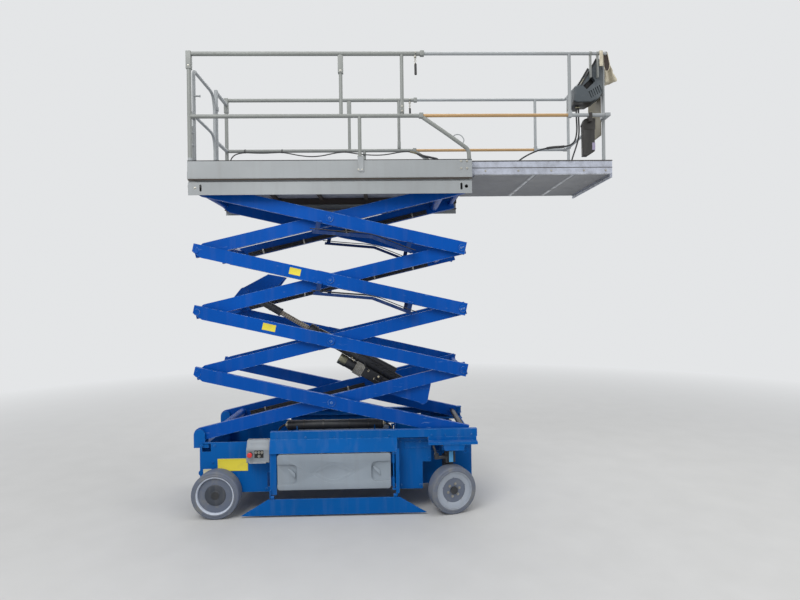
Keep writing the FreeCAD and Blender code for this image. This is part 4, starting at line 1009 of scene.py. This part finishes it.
def makeWheelHoses():
    for side, hand in sides:
        hoses = []
        # close round the motor, so that they turn with it between the axle and the nose
        for angle in (-8, 14, 36, 142, 164, 186):
            turn = math.radians(angle)
            x, y = wheel["kingpinX"] + 44 * math.cos(turn), (wheel["kingpinY"] + 44 * math.sin(turn)) * side
            hoses.append(tube([(x, y, 538), (x + 2, y, 515), (x - 3, y, 490), (x, y, 450)], 6))
        finish(hoses, f"motorHoses_{hand}", "hoseBlack", f"knuckle_{hand}_body")
        x, y = motorSettings["x"], motorSettings["y"] * side
        motor = [roundDrum((x, y, low), (x, y, high), radius, 40, width, segments)
                 for low, high, radius, width, segments in motorSettings["drums"]]
        finish(motor, f"steerMotor_{hand}", "hubDark", f"knuckle_{hand}_body")
        strap = block((1035, 1072), across(side, 512, 526), (452, 548))
        edit(strap, crossFace, inset(5), inset(1, -1))
        finish(roundEdges(strap, 2, 2), f"steerStrap_{hand}", "cyanSteel", f"knuckle_{hand}_body")


makeChassisTrim()
makeWheelHoses()
print("chassis trim")


# Scissor arms: caps, bolts, labels and hoses, laid out along each beam from its left pin

arm = {"length": 2468, "rise": 557, "pinX": -1221, "lowPin": 716, "inner": 375, "outer": 430, "wall": 40,
       "barBelow": 0.0585}
armAngle = math.degrees(math.asin(arm["rise"] / arm["length"]))


def armPlace(kind, stage):
    # Turns what is modelled along X from the middle of the wheelbase into the beam's own place
    turn = -armAngle if kind == "inner" else armAngle
    height = arm["lowPin"] + arm["rise"] * (stage - 1 if kind == "inner" else stage)
    return (Matrix.Translation(place(arm["pinX"], 0, height)) @ Matrix.Rotation(math.radians(turn), 4, "Y")
            @ Matrix.Translation(-place(0, 0, 0)))


def makePinCap(spot, radius, thick):
    x, face, z = spot
    cap = drum((x, face, z), (x, face - thick, z), radius, 40)
    edit(cap, lambda side: side.normal.y < -0.9, inset(radius * 0.2), inset(radius * 0.06, -0.6))
    return roundEdges(cap, 0.8, 2)


def makeArmTrim():
    face = -(arm["outer"] + arm["wall"])
    mid = hexBolt((arm["length"] / 2, face - 7, 0), (0, -1, 0), 15, 6)
    finish(mid, "midCap", "arm_blue", "chassis")
    end = joined([hexBolt((arm["length"] + x, face - 7, 0), (0, -1, 0), 11, 5) for x in (-12, 12)])
    finish(end, "endCap", "arm_blue", "chassis")
    left = makePinCap((0, face, 0), 30, 4)
    finish(left, "leftCap", "arm_blue", "chassis")
    for stage in range(1, 5):
        jobs = [(mid, "inner", "mid"), (left, "outer", "left")]
        if stage < 4:
            jobs.append((end, "inner", "end"))
        if stage == 4:
            jobs.remove((left, "outer", "left"))
        for model, kind, spot in jobs:
            for side, hand in sides:
                change = armPlace(kind, stage)
                if side > 0:
                    change = acrossY @ change
                copied(model, f"{spot}Cap_{stage}_{hand}", change, f"{kind}_pair_{stage}")
    for model in (mid, end, left):
        bpy.data.objects.remove(model)
    # blank yellow labels on the outer arms
    for stage, start, stop in ((2, 602, 722), (3, 856, 960)):
        for side, hand in sides:
            label = block((start, stop), (face - 0.9, face + 0.5), (-28, 34))
            edit(label, nearFace, inset(3), inset(0.8, -0.3))
            roundEdges(label, 0.3, 1)
            label.data.transform(armPlace("outer", stage))
            if side > 0:
                label.data.transform(acrossY)
                label.data.flip_normals()
            finish(label, f"armLabel_{stage}_{hand}", "yellowLabel", f"outer_pair_{stage}")
    # the bent bars under the two upper outer pairs are painted a darker navy: painted shade under the beams
    for stage in (3, 4):
        back = armPlace("outer", stage).inverted()
        bar = nodes[f"outer_arms_{stage}"]
        paint(bar, "bridgeShadedBlue", lambda face: (back @ face.center).z < -arm["barBelow"])
    # thin strips on the beams' upper and lower edges at each crossing
    for stage in range(1, 5):
        for kind, inner in (("inner", arm["inner"]), ("outer", arm["outer"])):
            pieces = []
            for side, hand in sides:
                span = sorted(((inner + 5) * side, (inner + arm["wall"] - 5) * side))
                for low, high in ((-60.5, -56.8), (56.8, 60.5)):
                    plate = block((arm["length"] / 2 - 130, arm["length"] / 2 + 130), span, (low, high))
                    pieces.append(roundEdges(plate, 1.2, 2))
            strip = joined(pieces)
            strip.data.transform(armPlace(kind, stage))
            finish(strip, f"armStrips_{kind}_{stage}", "arm_blue", f"{kind}_pair_{stage}")


def makeArmHoses():
    # hoses past the crossings on the bent bars, and clipped along the inside of the inner beams
    for stage in (3, 4):
        for side, hand in sides:
            y = (arm["outer"] + arm["wall"] + 19) * side
            hoses = []
            for drop, shift in ((-9, -4), (-9, 5)):
                hoses.append(tube([(1085, y + shift, -128), (1130, y + shift, -124), (1380, y + shift, -92),
                                   (1640, y + shift, -52), (1830, y + shift, -84), (2010, y + shift, -114),
                                   (2060, y + shift, -116)], 4))
            hose = joined(hoses)
            hose.data.transform(armPlace("outer", stage))
            finish(hose, f"bridgeHoses_{stage}_{hand}", "hoseBlack", f"outer_pair_{stage}")
    for stage in range(1, 5):
        start, stop = 260, 2200 if stage > 1 else 1500
        for side, hand in sides:
            y = (arm["inner"] - 9) * side
            pieces = []
            for level in (-46, -31, -16):
                pieces.append(tube([(start, y, level), (start + 200, y, level + 1), (700, y, level - 2),
                                    (1000, y, level + 1), (1300, y, level - 1), (stop - 100, y, level + 2),
                                    (stop, y, level)], 7))
            hose = joined(pieces)
            hose.data.transform(armPlace("inner", stage))
            finish(hose, f"armHoses_{stage}_{hand}", "hoseBlack", f"inner_pair_{stage}")
            clips = []
            for x in (420, 860, 1320, 1620, 2040):
                if x < stop:
                    span = across(side, arm["inner"] - 18, arm["inner"])
                    clips.append(roundBlock((x - 8, x + 8), span, (-56, -4), 2, 2))
            clip = joined(clips)
            clip.data.transform(armPlace("inner", stage))
            finish(clip, f"armClips_{stage}_{hand}", "zinc", f"inner_pair_{stage}")


makeArmTrim()
makeArmHoses()
print("arms")


# Lift cylinder, laid out along X from its foot pin; +Z of this layout is its underside

cylinder = {"footX": 815, "footZ": 994, "eyeX": -903, "eyeZ": 2014}
cylinderTurn = math.atan2(cylinder["eyeZ"] - cylinder["footZ"], cylinder["eyeX"] - cylinder["footX"])
cylinderPlace = (Matrix.Translation(place(cylinder["footX"], 0, cylinder["footZ"]))
                 @ Matrix.Rotation(-cylinderTurn, 4, "Y") @ Matrix.Translation(-place(0, 0, 0)))


def onCylinder(pieces, name, look, body):
    piece = joined(pieces) if isinstance(pieces, list) else pieces
    piece.data.transform(cylinderPlace)
    return finish(piece, name, look, body)


def makeCylinderTrim():
    barrel, rod = "cylinder_barrel", "cylinder_rod"
    gland = []
    for low, high, radius in ((1196, 1210, 62), (1222, 1264, 60), (1264, 1276, 50)):
        gland.append(roundDrum((low, 0, 0), (high, 0, 0), radius, 48, 3, 3))
    for index in range(8):
        angle = math.radians(45 * index)
        spot = (1264, 54 * math.cos(angle), 54 * math.sin(angle))
        gland.append(hexBolt(spot, (1, 0, 0), 8, 5, False))
    onCylinder(gland, "cylinderGland", "black_steel", barrel)
    bands = [roundDrum((x, 0, 0), (x + 22, 0, 0), 52, 48, 1.5, 2) for x in (130, 420, 700, 980)]
    onCylinder(bands, "cylinderBands", "black_steel", barrel)
    # pump housing under the barrel, with a ribbed block and a bright end
    end = drum((790, 0, 104), (872, 0, 104), 54, 56)
    edit(end, lambda face: face.normal.x > 0.99, inset(6, 0), inset(3, -3), inset(22), inset(4, 2))
    onCylinder(roundEdges(end, 3, 3), "pumpEnd", "oliveSteel", barrel)
    shell = [roundDrum((690, 0, 104), (792, 0, 104), 50, 56, 2, 2),
             roundDrum((700, 0, 104), (712, 0, 104), 54, 56, 2, 2),
             roundBlock((400, 604), (-52, 52), (40, 146), 8, 3),
             roundBlock((300, 410), (-40, 40), (44, 118), 8, 3)]
    onCylinder(shell, "pumpHousing", "black_steel", barrel)
    ribbed = block((600, 694), (-56, 56), (34, 160))
    grooves = []
    for index in range(5):
        x = 610 + 17 * index
        grooves.append(block((x, x + 7), (-70, -50), (20, 180)))
        grooves.append(block((x, x + 7), (50, 70), (20, 180)))
    carve(ribbed, joined(grooves))
    onCylinder(roundEdges(ribbed, 2, 2), "pumpRibs", "zinc", barrel)
    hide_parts("valve_block")
    fittings = []
    for x, y, z in ((764, -44, 44), (735, -48, 52), (560, -56, 70), (470, -56, 110), (445, -56, 72)):
        fittings.append(drum((x, y, z), (x, y - 22, z - 8), 8, 20))
        fittings.append(hexBolt((x, y - 14, z - 6), (0, -0.94, -0.34), 19, 10, False))
    onCylinder(fittings, "pumpFittings", "brass", barrel)
    hoses = [tube([(764, -60, 38), (800, -86, 20), (900, -84, -8), (1050, -68, -20), (1180, -64, -8),
                   (1215, -60, 4)], 7),
             tube([(560, -74, 62), (600, -98, 40), (640, -96, 10), (560, -74, -30), (380, -66, -46),
                   (200, -58, -40)], 7),
             tube([(470, -74, 102), (430, -98, 110), (360, -92, 90), (300, -62, 60), (230, -30, 56)], 8)]
    onCylinder(hoses, "pumpHoses", "hoseBlack", barrel)
    # long tapered carrier on the barrel's upper side
    carrier = block((320, 1180), (-26, 26), (-92, -44))
    for vertex in carrier.data.vertices:
        if vertex.co.x > place(900, 0, 0).x and vertex.co.z < place(0, 0, -70).z:
            vertex.co.z = place(0, 0, -56).z
    edit(carrier, crossFace, inset(9), inset(2, -4))
    onCylinder(roundEdges(carrier, 2, 2), "hoseCarrier", "black_steel", barrel)
    sleeve = []
    for low, high, radius in ((1592, 1960, 37), (1592, 1606, 41), (1700, 1712, 40)):
        sleeve.append(roundDrum((low, 0, 0), (high, 0, 0), radius, 48, 2, 2))
    paint(nodes["lift_rod"], "rodWrap", lambda face: True)
    onCylinder(sleeve, "rodSleeve", "black_steel", rod)
    footBolts = [hexBolt((0, y, 0), (0, math.copysign(1, y), 0), 26, 12) for y in (-48, 48)]
    onCylinder(footBolts, "footNuts", "darkBolt", barrel)


makeCylinderTrim()
print("cylinder")


# Round vessel over the module bay: bright end fittings and hoses

vessel = {"y": -300, "z": 761, "ends": ((-446, -1), (440, 1)), "bands": (-300, -120, 120, 300)}


def makeVesselTrim():
    ends = []
    y, z = vessel["y"], vessel["z"]
    for x, way in vessel["ends"]:
        cap = drum((x, y, z), (x + 10 * way, y, z), 36, 40)
        ends.append(roundEdges(cap, 3, 3))
        ends.append(hexBolt((x + 8 * way, y, z), (way, 0, 0), 26, 16, False))
    finish(ends, "vesselEnds", "brass", "chassis")
    hoses = [tube([(-470, y, z), (-500, y, 755), (-530, y, 720), (-545, y, 660), (-556, y, 600)], 9),
             tube([(464, y, z), (500, y, 752), (530, y, 700), (545, y, 650), (556, y, 600)], 9)]
    finish(hoses, "vesselHoses", "hoseBlack", "chassis")
    bands = []
    for x in vessel["bands"]:
        bands.append(roundDrum((x, y, z), (x + 14, y, z), 47, 48, 1, 2))
    finish(bands, "vesselBands", "darkBolt", "chassis")


makeVesselTrim()
print("vessel")


# Side guardrails

rail = {"y": 555, "x": 1233, "top": 4118, "mid": 3563, "end": 835, "deck": 3040, "radius": 19}


def makeSideRail():
    y, radius = -rail["y"], rail["radius"]
    toe = block((-1251, 1267), (-577, -573), (3006, 3168))
    lip = block((-1251, 1267), (-577, -567), (3162, 3168))
    foot = block((-1251, 1267), (-579, -571), (3006, 3012))
    tubes = [tube([(-rail["x"], y, 3050), (-rail["x"], y, 3600), (-rail["x"], y, 4070),
                   (-rail["x"], y, rail["top"])], radius),
             tube([(-rail["x"], y, rail["top"]), (0, y, rail["top"]), (rail["end"], y, rail["top"])], radius),
             tube([(-rail["x"] + 10, y, rail["mid"]), (500, y, rail["mid"]), (740, y, rail["mid"]),
                   (812, y, rail["mid"]), (860, y, rail["mid"] - 34), (1020, y, 3420), (1180, y, 3304),
                   (1240, y, 3260), (1247, y, 3190), (1247, y, 3050)], radius - 1),
             tube([(105, y, rail["mid"]), (105, y, 3800), (105, y, rail["top"])], 16),
             tube([(650, y, rail["mid"]), (650, y, 3800), (650, y, rail["top"])], 16),
             tube([(268, y, rail["deck"]), (268, y, 3300), (268, y, rail["mid"])], 16)]
    square = [roundBlock((82, 128), (y - 22, y + 22), (3940, 4100), 4, 3),
              roundBlock((632, 668), (y - 21, y + 21), (3584, 3660), 4, 3),
              roundBlock((-1256, -1210), (y - 22, y + 22), (3980, 4140), 5, 3),
              roundBlock((814, 852), (y - 22, y + 22), (4096, 4140), 4, 3),
              roundBlock((800, 838), (y - 22, y + 22), (3541, 3585), 4, 3)]
    gusset = block((246, 302), (-584, -576), (3060, 3200))
    for vertex in gusset.data.vertices:
        if vertex.co.z < place(0, 0, 3100).z and vertex.co.x < place(270, 0, 0).x:
            vertex.co.x += 0.014
    edit(gusset, nearFace, inset(4), inset(1, -1))
    square.append(roundEdges(gusset, 2, 2))
    body = finish([toe, lip, foot] + tubes + square, "sideRail_left", "platform_grey", "platform")
    paint(body, "railGrey", lambda face: face.center.z > place(0, 0, 3175).z)
    return body


def makeRailTrim():
    side = makeSideRail()
    y = -rail["y"]
    bolts = []
    for x, z in ((1170, 3150), (1222, 3150), (1170, 3085), (1222, 3085), (258, 3078), (288, 3078),
                 (-1190, 2928)):
        bolts.append(hexBolt((x, -577 if z > 3000 else -564, z), (0, -1, 0), 13, 7))
    for x, z in ((650, 3600), (650, 3642), (105, 3960), (-1233, 4008)):
        bolts.append(hexBolt((x, y - 21, z), (0, -1, 0), 10, 6))
    bolted = finish(bolts, "railBolts_left", "zinc", "platform")
    # dark discs near the beam's ends: painted shade standing for the shaded inside of each hole
    holeShadeDiscs = []
    for x, half, height in ((1172, 9, 30), (1216, 15, 15), (-1141, 9, 30)):
        hole = drum((x, -564, 2928), (x, -566.5, 2928), half, 32)
        for vertex in hole.data.vertices:
            if height > half:
                vertex.co.z += math.copysign((height - half) / 1000, vertex.co.z - place(0, 0, 2928).z)
        edit(hole, nearFace, inset(2, 0), inset(1, -1.5))
        holeShadeDiscs.append(hole)
    beamShadeDiscs = finish(holeShadeDiscs, "beamHoles_left", "consoleDark", "platform")
    # a dark strip between the toe board and the beam: a painted shadow line
    groove = roundBlock((-1249, 1265), (-575, -568), (2993, 3007), 1, 1)
    shadow = finish(groove, "beamGroove_left", "underShade", "platform")
    # wire loop handle on the sloping rail
    handle = tube([(1098, y - 4, 3366), (1112, y - 6, 3390), (1165, y - 8, 3392), (1202, y - 8, 3352),
                   (1196, y - 8, 3318), (1180, y - 4, 3304)], 4.5)
    grip = finish(handle, "railHandle_left", "platform_grey", "platform")
    for piece in (side, bolted, beamShadeDiscs, grip, shadow):
        copied(piece, piece.name.replace("left", "right"), acrossY, "platform")
    # dark underside between the beams: painted shade, in a rusty brown
    for label in ("platform_frame", "platform_deck"):
        paint(nodes[label], "underShade",
              lambda face: abs(face.center.y) < 0.545 and face.center.z < place(0, 0, 3036).z)
    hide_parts("side_rail_left", "toe_board_left")
    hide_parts("side_rail_right", "toe_board_right")


def makeLanyards():
    # locking pins with a short chain and a dark grip, hung from the top rails near the front end
    for side, hand in sides:
        y = rail["y"] * side
        x = 772
        chain = []
        for index in range(5):
            bpy.ops.object.select_all(action="DESELECT")
            bpy.ops.mesh.primitive_torus_add(major_radius=0.009, minor_radius=0.0026, major_segments=16,
                                             minor_segments=8, location=place(x, y, 4082 - 14 * index),
                                             rotation=(math.radians(90), 0, math.radians(90 * (index % 2))))
            link = apply(bpy.context.object)
            chain.append(link)
        chain.append(drum((x, y - 34, 4118), (x, y + 34, 4118), 6, 20))
        chain.append(roundDrum((x, y, 4100), (x, y, 4084), 12, 24, 2, 2))
        finish(chain, f"pinChain_{hand}", "zinc", "platform")
        grip = drum((x + 2, y, 4026), (x + 3, y, 3930), 11, 28)
        edit(grip, lambda face: abs(face.normal.z) > 0.99, inset(3), inset(2, -2))
        finish(roundEdges(grip, 3, 3), f"pinGrip_{hand}", "consoleDark", "platform")


makeRailTrim()
makeLanyards()
print("side rails")


# Gate and rear rail

def makeGate():
    x, near, far = -rail["x"], -440, 145
    hoop = tube([(x, near, 3110), (x, near, 3500), (x, near, 3920), (x, near, 4020), (x, near + 60, 4020),
                 (x, -60, 4020), (x, 30, 4020), (x, 100, 4000), (x, far, 3900), (x, far, 3780),
                 (x, far, 3400), (x, far, 3110)], 15)
    middle = tube([(x, near, 3610), (x, -100, 3610), (x, 20, 3610), (x, 96, 3596), (x, 138, 3520),
                   (x, far, 3440)], 14)
    low = tube([(x, near, 3110), (x, -100, 3110), (x, far, 3110)], 15)
    plates = []
    for z in (3300, 3880):
        plates.append(roundDrum((x, 200, z), (x, 200, z + 40), 26, 40, 2, 2))
        plates.append(roundBlock((x - 7, x + 7), (far, 182), (z + 2, z + 38), 2, 2))
    catch = [roundBlock((x - 12, x + 12), (near - 34, near - 4), (3570, 3640), 3, 3),
             drum((x + 8, near - 20, 3780), (x + 60, near - 20, 3780), 7, 20),
             roundDrum((x + 56, near - 20, 3780), (x + 66, near - 20, 3780), 12, 24, 3, 3)]
    gate = finish([hoop, middle, low] + plates + catch, "gateHoops", "platform_grey", "gate")
    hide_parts("entry_gate")


makeGate()
print("gate")


# Roll-out deck: rails, toe strip, ribs

roll = {"start": 1190, "end": 2562, "low": 3046, "side": 510, "railX": 2500, "postX": 2160, "inner": 15}


def frontCorner(side, z):
    # The points of a rail round the front corner to the middle
    y, front = rail["y"] * side, roll["railX"]
    return [(2380, y, z), (2440, y, z), (front, y, z), (front, y - 60 * side, z), (front, y - 120 * side, z),
            (front, 0, z)]


def makeRollRails():
    r, front = roll["inner"], roll["railX"]
    grey, brown = [], []
    for side, hand in sides:
        y = rail["y"] * side
        grey.append(tube([(300, y, rail["top"]), (1400, y, rail["top"])] + frontCorner(side, rail["top"]), r))
        brown.append(tube([(300, y, rail["mid"]), (1400, y, rail["mid"]),
                           (roll["postX"] - 4, y, rail["mid"])], r))
        start = [(roll["postX"] - 6, y, rail["mid"]), (2300, y, rail["mid"])]
        grey.append(tube(start + frontCorner(side, rail["mid"]), r + 1))
        grey.append(tube([(front, 470 * side, roll["low"] + 4), (front, 470 * side, 3500),
                          (front, 470 * side, rail["top"])], r))
        grey.append(tube([(roll["postX"], y, rail["mid"]), (roll["postX"], y, 3800),
                          (roll["postX"], y, rail["top"])], r))
        foot = block((2470, 2530), across(side, 440, 500), (roll["low"] + 3, roll["low"] + 12))
        edit(foot, lambda face: face.normal.z > 0.99, inset(6), inset(2, 2))
        grey.append(roundEdges(foot, 2, 2))
        grey.append(roundBlock((2143, 2177), sorted((y - 19 * side, y + 20 * side)), (3541, 3600), 3, 3))
        grey.append(roundBlock((2476, 2524), across(side, 455, 580), (3548, 3579), 4, 3))
    rails = finish(grey, "rollRails", "platform_grey", "extension")
    finish(brown, "rollRailsInner", "brownSteel", "extension")
    panel = block((2483, 2487), (-455, -150), (3410, 3886))
    edit(panel, lambda face: abs(face.normal.x) > 0.99, inset(14), inset(3, -1))
    finish(roundEdges(panel, 1, 2), "rollPanel", "olivePanel", "extension")
    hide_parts("extension_rails")


def makeRollTrim():
    edges, under, ribs = [], [], []
    for side, hand in sides:
        y, length = roll["side"], (roll["start"] + 90, roll["end"])
        edges.append(roundBlock(length, across(side, y - 6, y + 3), (3160, 3170), 1.5, 2))
        edges.append(roundBlock(length, across(side, y - 2, y + 2.5), (3100, 3106), 1.5, 2))
    edges.append(roundBlock((2556, 2563), (-512, 512), (3160, 3170), 1.5, 2))
    finish(edges, "rollToeEdges", "darkBolt", "extension")
    for low, high in ((1300, 1835), (1865, 2195), (2225, 2535)):
        # only 6 mm lie between this deck and the one it slides over
        panel = block((low, high), (-496, 496), (3041.5, roll["low"] + 0.5))
        edit(panel, lambda face: face.normal.z < -0.99, inset(14), inset(4, -2))
        under.append(roundEdges(panel, 1.5, 2))
    finish(under, "rollUnderPanels", "underGrey", "extension")
    for x in (1850, 2210):
        ribs.append(roundBlock((x - 14, x + 14), (-500, 500), (3040.8, roll["low"] + 0.5), 2, 2))
    for side, hand in sides:
        ribs.append(roundBlock((1300, 2545), across(side, 488, 508), (3040.8, roll["low"] + 0.5), 2, 2))
    ribs.append(roundDrum((2552, -505, 3026), (2552, 505, 3026), 10, 24, 1, 1))
    finish(ribs, "rollRibs", "bareSteel", "extension")
    bolts = []
    for x in (1400, 1700, 2000, 2300, 2500):
        for side, hand in sides:
            bolts.append(hexBolt((x, roll["side"] * side, 3075), (0, side, 0), 11, 6))
    finish(bolts, "rollBolts", "zinc", "extension")


makeRollRails()
makeRollTrim()
print("roll-out deck")


# Driver's console on the roll-out deck's left rail

console = {"y": (-536, -326),
           "profile": ((2212, 3704), (2232, 3690), (2366, 3694), (2440, 3726), (2470, 3778), (2470, 4048),
                       (2448, 4072), (2420, 4074), (2304, 3886), (2282, 3848), (2216, 3832)),
           "opening": ((2292, 3836), (2378, 3918), (2406, 3878), (2326, 3802))}


def makeConsole():
    low, high = console["y"]
    case = roundPlate(console["profile"], console["y"], 8, 3)
    # hand hole in the left cheek, slanting ribs below it, and the controls' tray in the sloping face
    hole = roundPlate(console["opening"], (-600, -490), 6, 3)
    tray = roundPlate(((2296, 3906), (2410, 4092), (2440, 4070), (2330, 3890)), (low + 12, high - 12), 4, 2)
    grooves = []
    for index in range(6):
        x, z = 2340 + 19 * index, 3784 + 11 * index
        groove = sideOutline(((x, z), (x + 10, z + 5), (x + 34, z - 56), (x + 24, z - 60)), (-560, -524))
        grooves.append(roundEdges(groove, 2, 2))
    carve(case, hole, tray, joined(grooves))
    shell = finish(case, "consoleCase", "consoleGrey", "extension")
    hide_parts("platform_control_box")
    trim = [roundPlate(((2206, 3668), (2290, 3668), (2300, 3688), (2372, 3690), (2474, 3756),
                                    (2474, 3790), (2436, 3732), (2364, 3700), (2232, 3696), (2206, 3706)),
                       (low + 12, high - 12), 3, 2),
            roundPlate(((2296, 3844), (2378, 3922), (2410, 3880), (2330, 3798)), (low + 40, low + 46), 4, 2)]
    for across in ((low - 3, low + 9), (high - 9, high + 3)):
        trim.append(roundPlate(((2266, 3838), (2284, 3840), (2426, 4076), (2412, 4086)), across, 3, 2))
    finish(trim, "consoleTrim", "consoleDark", "extension")
    hangers = []
    for x in (2340, 2405):
        hangers.append(roundDrum((x + 4, -555, 4118), (x + 26, -555, 4118), 18.5, 40, 2, 2))
        hangers.append(roundBlock((x + 8, x + 22), (-566, -532), (3900, 4106), 3, 2))
    finish(hangers, "consoleHangers", "railGrey", "extension")
    # controls in the tray, turned to the driver
    stick = [roundDrum((2382, -470, 3956), (2366, -470, 3966), 26, 32, 2, 2),
             roundDrum((2372, -470, 3962), (2362, -470, 3970), 11, 24, 3, 3),
             roundDrum((2366, -470, 3966), (2348, -470, 3979), 16, 32, 7, 4)]
    finish(stick, "consoleStick", "consoleDark", "extension")
    stop = [roundDrum((2422, -390, 4004), (2404, -390, 4016), 15, 32, 2, 2),
            roundDrum((2408, -390, 4013), (2397, -390, 4020), 20, 40, 3, 3)]
    finish(stop, "consoleStop", "redKnob", "extension")
    keys = []
    for index in range(5):
        z = 3912 + 12 * index
        x = 2338 + 7.4 * index
        keys.append(roundBlock((x - 8, x + 4), (-420, -404), (z + 2, z + 8), 1.5, 2))
        keys.append(roundBlock((x - 8, x + 4), (-370, -354), (z + 2, z + 8), 1.5, 2))
    finish(keys, "consoleKeys", "paleLabel", "extension")
    gland = [roundBlock((2240, 2290), (-470, -442), (3668, 3722), 3, 2)]
    nuts = [hexBolt((x, -456, 3670), (0, 0, -1), 18, 9, False) for x in (2256, 2276)]
    finish(gland, "consoleGland", "consoleDark", "extension")
    finish(nuts, "consoleGlandNuts", "paleLabel", "extension")


def makeManualBox():
    case = sideOutline(((2287, 3500), (2288, 3202), (2330, 3202), (2398, 3246), (2398, 3540), (2336, 3543),
                        (2308, 3534)), (-529, -481))
    edit(case, nearFace, inset(10), inset(3, -2))
    roundEdges(case, 5, 3)
    lid = roundPlate(((2282, 3486), (2300, 3440), (2402, 3440), (2402, 3543), (2336, 3546), (2304, 3536)),
                     (-531, -479), 3, 2)
    grip = roundBlock((2330, 2360), (-576, -520), (3500, 3582), 3, 2)
    body = finish([case, lid, grip], "manualCase", "black_plastic", "extension")
    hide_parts("manual_box")
    label = block((2372, 2399), (-531.5, -528), (3256, 3322))
    edit(label, nearFace, inset(3), inset(1, -0.5))
    finish(roundEdges(label, 0.6, 1), "manualLabel", "lilacLabel", "extension")


makeConsole()
makeManualBox()
print("console")


# Cloth bag hung over the front rail at the left corner

bag = {"outline": ((2519, 4060), (2521, 4124), (2556, 4130), (2580, 4076), (2612, 3990), (2650, 3922),
                   (2644, 3904), (2580, 3908), (2532, 3904), (2524, 3960)),
       "y": (-452, -222), "crease": 34, "voxel": 5, "pressure": 3.0, "cap": 9, "steps": 20, "clear": 2517,
       "taper": 0.4, "lift": 46}


def inflate(piece, settings):
    # Cloth under a slight pressure, held along its top edge, with no point moving further than the cap
    top = max(vertex.co.z for vertex in piece.data.vertices)
    held = piece.vertex_groups.new(name="held")
    held.add([vertex.index for vertex in piece.data.vertices if vertex.co.z > top - 0.012], 1.0, "REPLACE")
    before = [vertex.co.copy() for vertex in piece.data.vertices]
    only(piece)
    cloth = piece.modifiers.new("cloth", "CLOTH")
    cloth.settings.use_pressure = True
    cloth.settings.uniform_pressure_force = settings["pressure"]
    cloth.settings.vertex_group_mass = "held"
    cloth.settings.effector_weights.gravity = 0
    for step in range(1, settings["steps"] + 1):
        bpy.context.scene.frame_set(step)
    bpy.ops.object.modifier_apply(modifier="cloth")
    bpy.context.scene.frame_set(1)
    cap = settings["cap"] / 1000
    for vertex, start in zip(piece.data.vertices, before):
        move = vertex.co - start
        if move.length > cap:
            vertex.co = start + move.normalized() * cap
    return piece


def makeBag():
    low, high = bag["y"]
    cloth = sideOutline(bag["outline"], bag["y"])
    modify(cloth, "REMESH", mode="VOXEL", voxel_size=bag["voxel"] / 1000)
    # the bag narrows and rises to its far side; the near side is folded in along a slanting crease
    for vertex in cloth.data.vertices:
        down = (place(0, 0, 4130).z - vertex.co.z) / 0.23
        far = (vertex.co.y - place(0, low, 0).y) / 0.23
        vertex.co.x -= (vertex.co.x - place(2520, 0, 0).x) * bag["taper"] * far
        vertex.co.z += bag["lift"] / 1000 * far * down
        crease = place(2540 + 52 * down, 0, 0).x
        reach = 0.016 + 0.034 * down
        near = max(0.0, 1 - (vertex.co.y - place(0, low, 0).y) / 0.05)
        push = max(0.0, 1 - abs(vertex.co.x - crease) / reach)
        vertex.co.y += bag["crease"] / 1000 * near * push * min(1, down * 2)
    inflate(cloth, bag)
    for vertex in cloth.data.vertices:
        spot = vertex.co
        fold = noise.noise(Vector((spot.x * 14, spot.y * 34, spot.z * 7)))
        spot += vertex.normal * fold * 0.006
        spot.x = max(spot.x, place(bag["clear"], 0, 0).x)
    modify(cloth, "SUBSURF", levels=1, render_levels=1)
    body = finish(cloth, "bagCloth", "canvas", "extension", 80)
    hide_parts("tool_pouch")
    # straps over the rail, and a looped flap that hangs outside the corner
    straps = []
    outer = ((2480, 4086), (2480, 4126), (2488, 4136), (2516, 4137), (2530, 4130), (2536, 4100))
    inner = ((2533, 4099), (2528, 4127), (2515, 4134), (2489, 4133), (2483, 4125), (2483, 4086))
    for y in (-400, -260):
        straps.append(roundPlate(outer + inner, (y - 11, y + 11), 0.8, 1))
    flap = sideOutline(((2476, 4132), (2476, 4040), (2484, 3985), (2496, 3966), (2512, 3966), (2524, 3984),
                        (2529, 4020), (2520, 4070), (2508, 4134)), (-553, -549))
    edit(flap, nearFace, inset(4), inset(1, -0.6))
    straps.append(roundEdges(flap, 1, 2))
    straps.append(roundBlock((2478, 2506), (-553, -500), (4133, 4136), 1, 2))
    finish(straps, "bagStraps", "strapDark", "extension")
    edges = [tube([(2474, -552, 4120), (2474, -553, 4040), (2482, -554, 3982), (2497, -554, 3958),
                   (2514, -554, 3960), (2530, -554, 3990), (2532, -554, 4020), (2522, -553, 4075),
                   (2510, -552, 4130)], 2.5),
             tube([(2518, -448, 4128), (2536, -455, 4100), (2550, -458, 4070), (2566, -452, 4092),
                   (2570, -446, 4110)], 2.5),
             tube([(2466, -546, 4122), (2467, -547, 4070), (2462, -547, 4026), (2470, -545, 4010)], 2.5)]
    edges.append(roundBlock((2430, 2462), (-575, -571), (3998, 4134), 1, 2))
    edges.append(roundBlock((2430, 2462), (-575, -538), (4134, 4137), 1, 2))
    finish(edges, "bagEdges", "canvas", "extension")


makeBag()
print("bag")
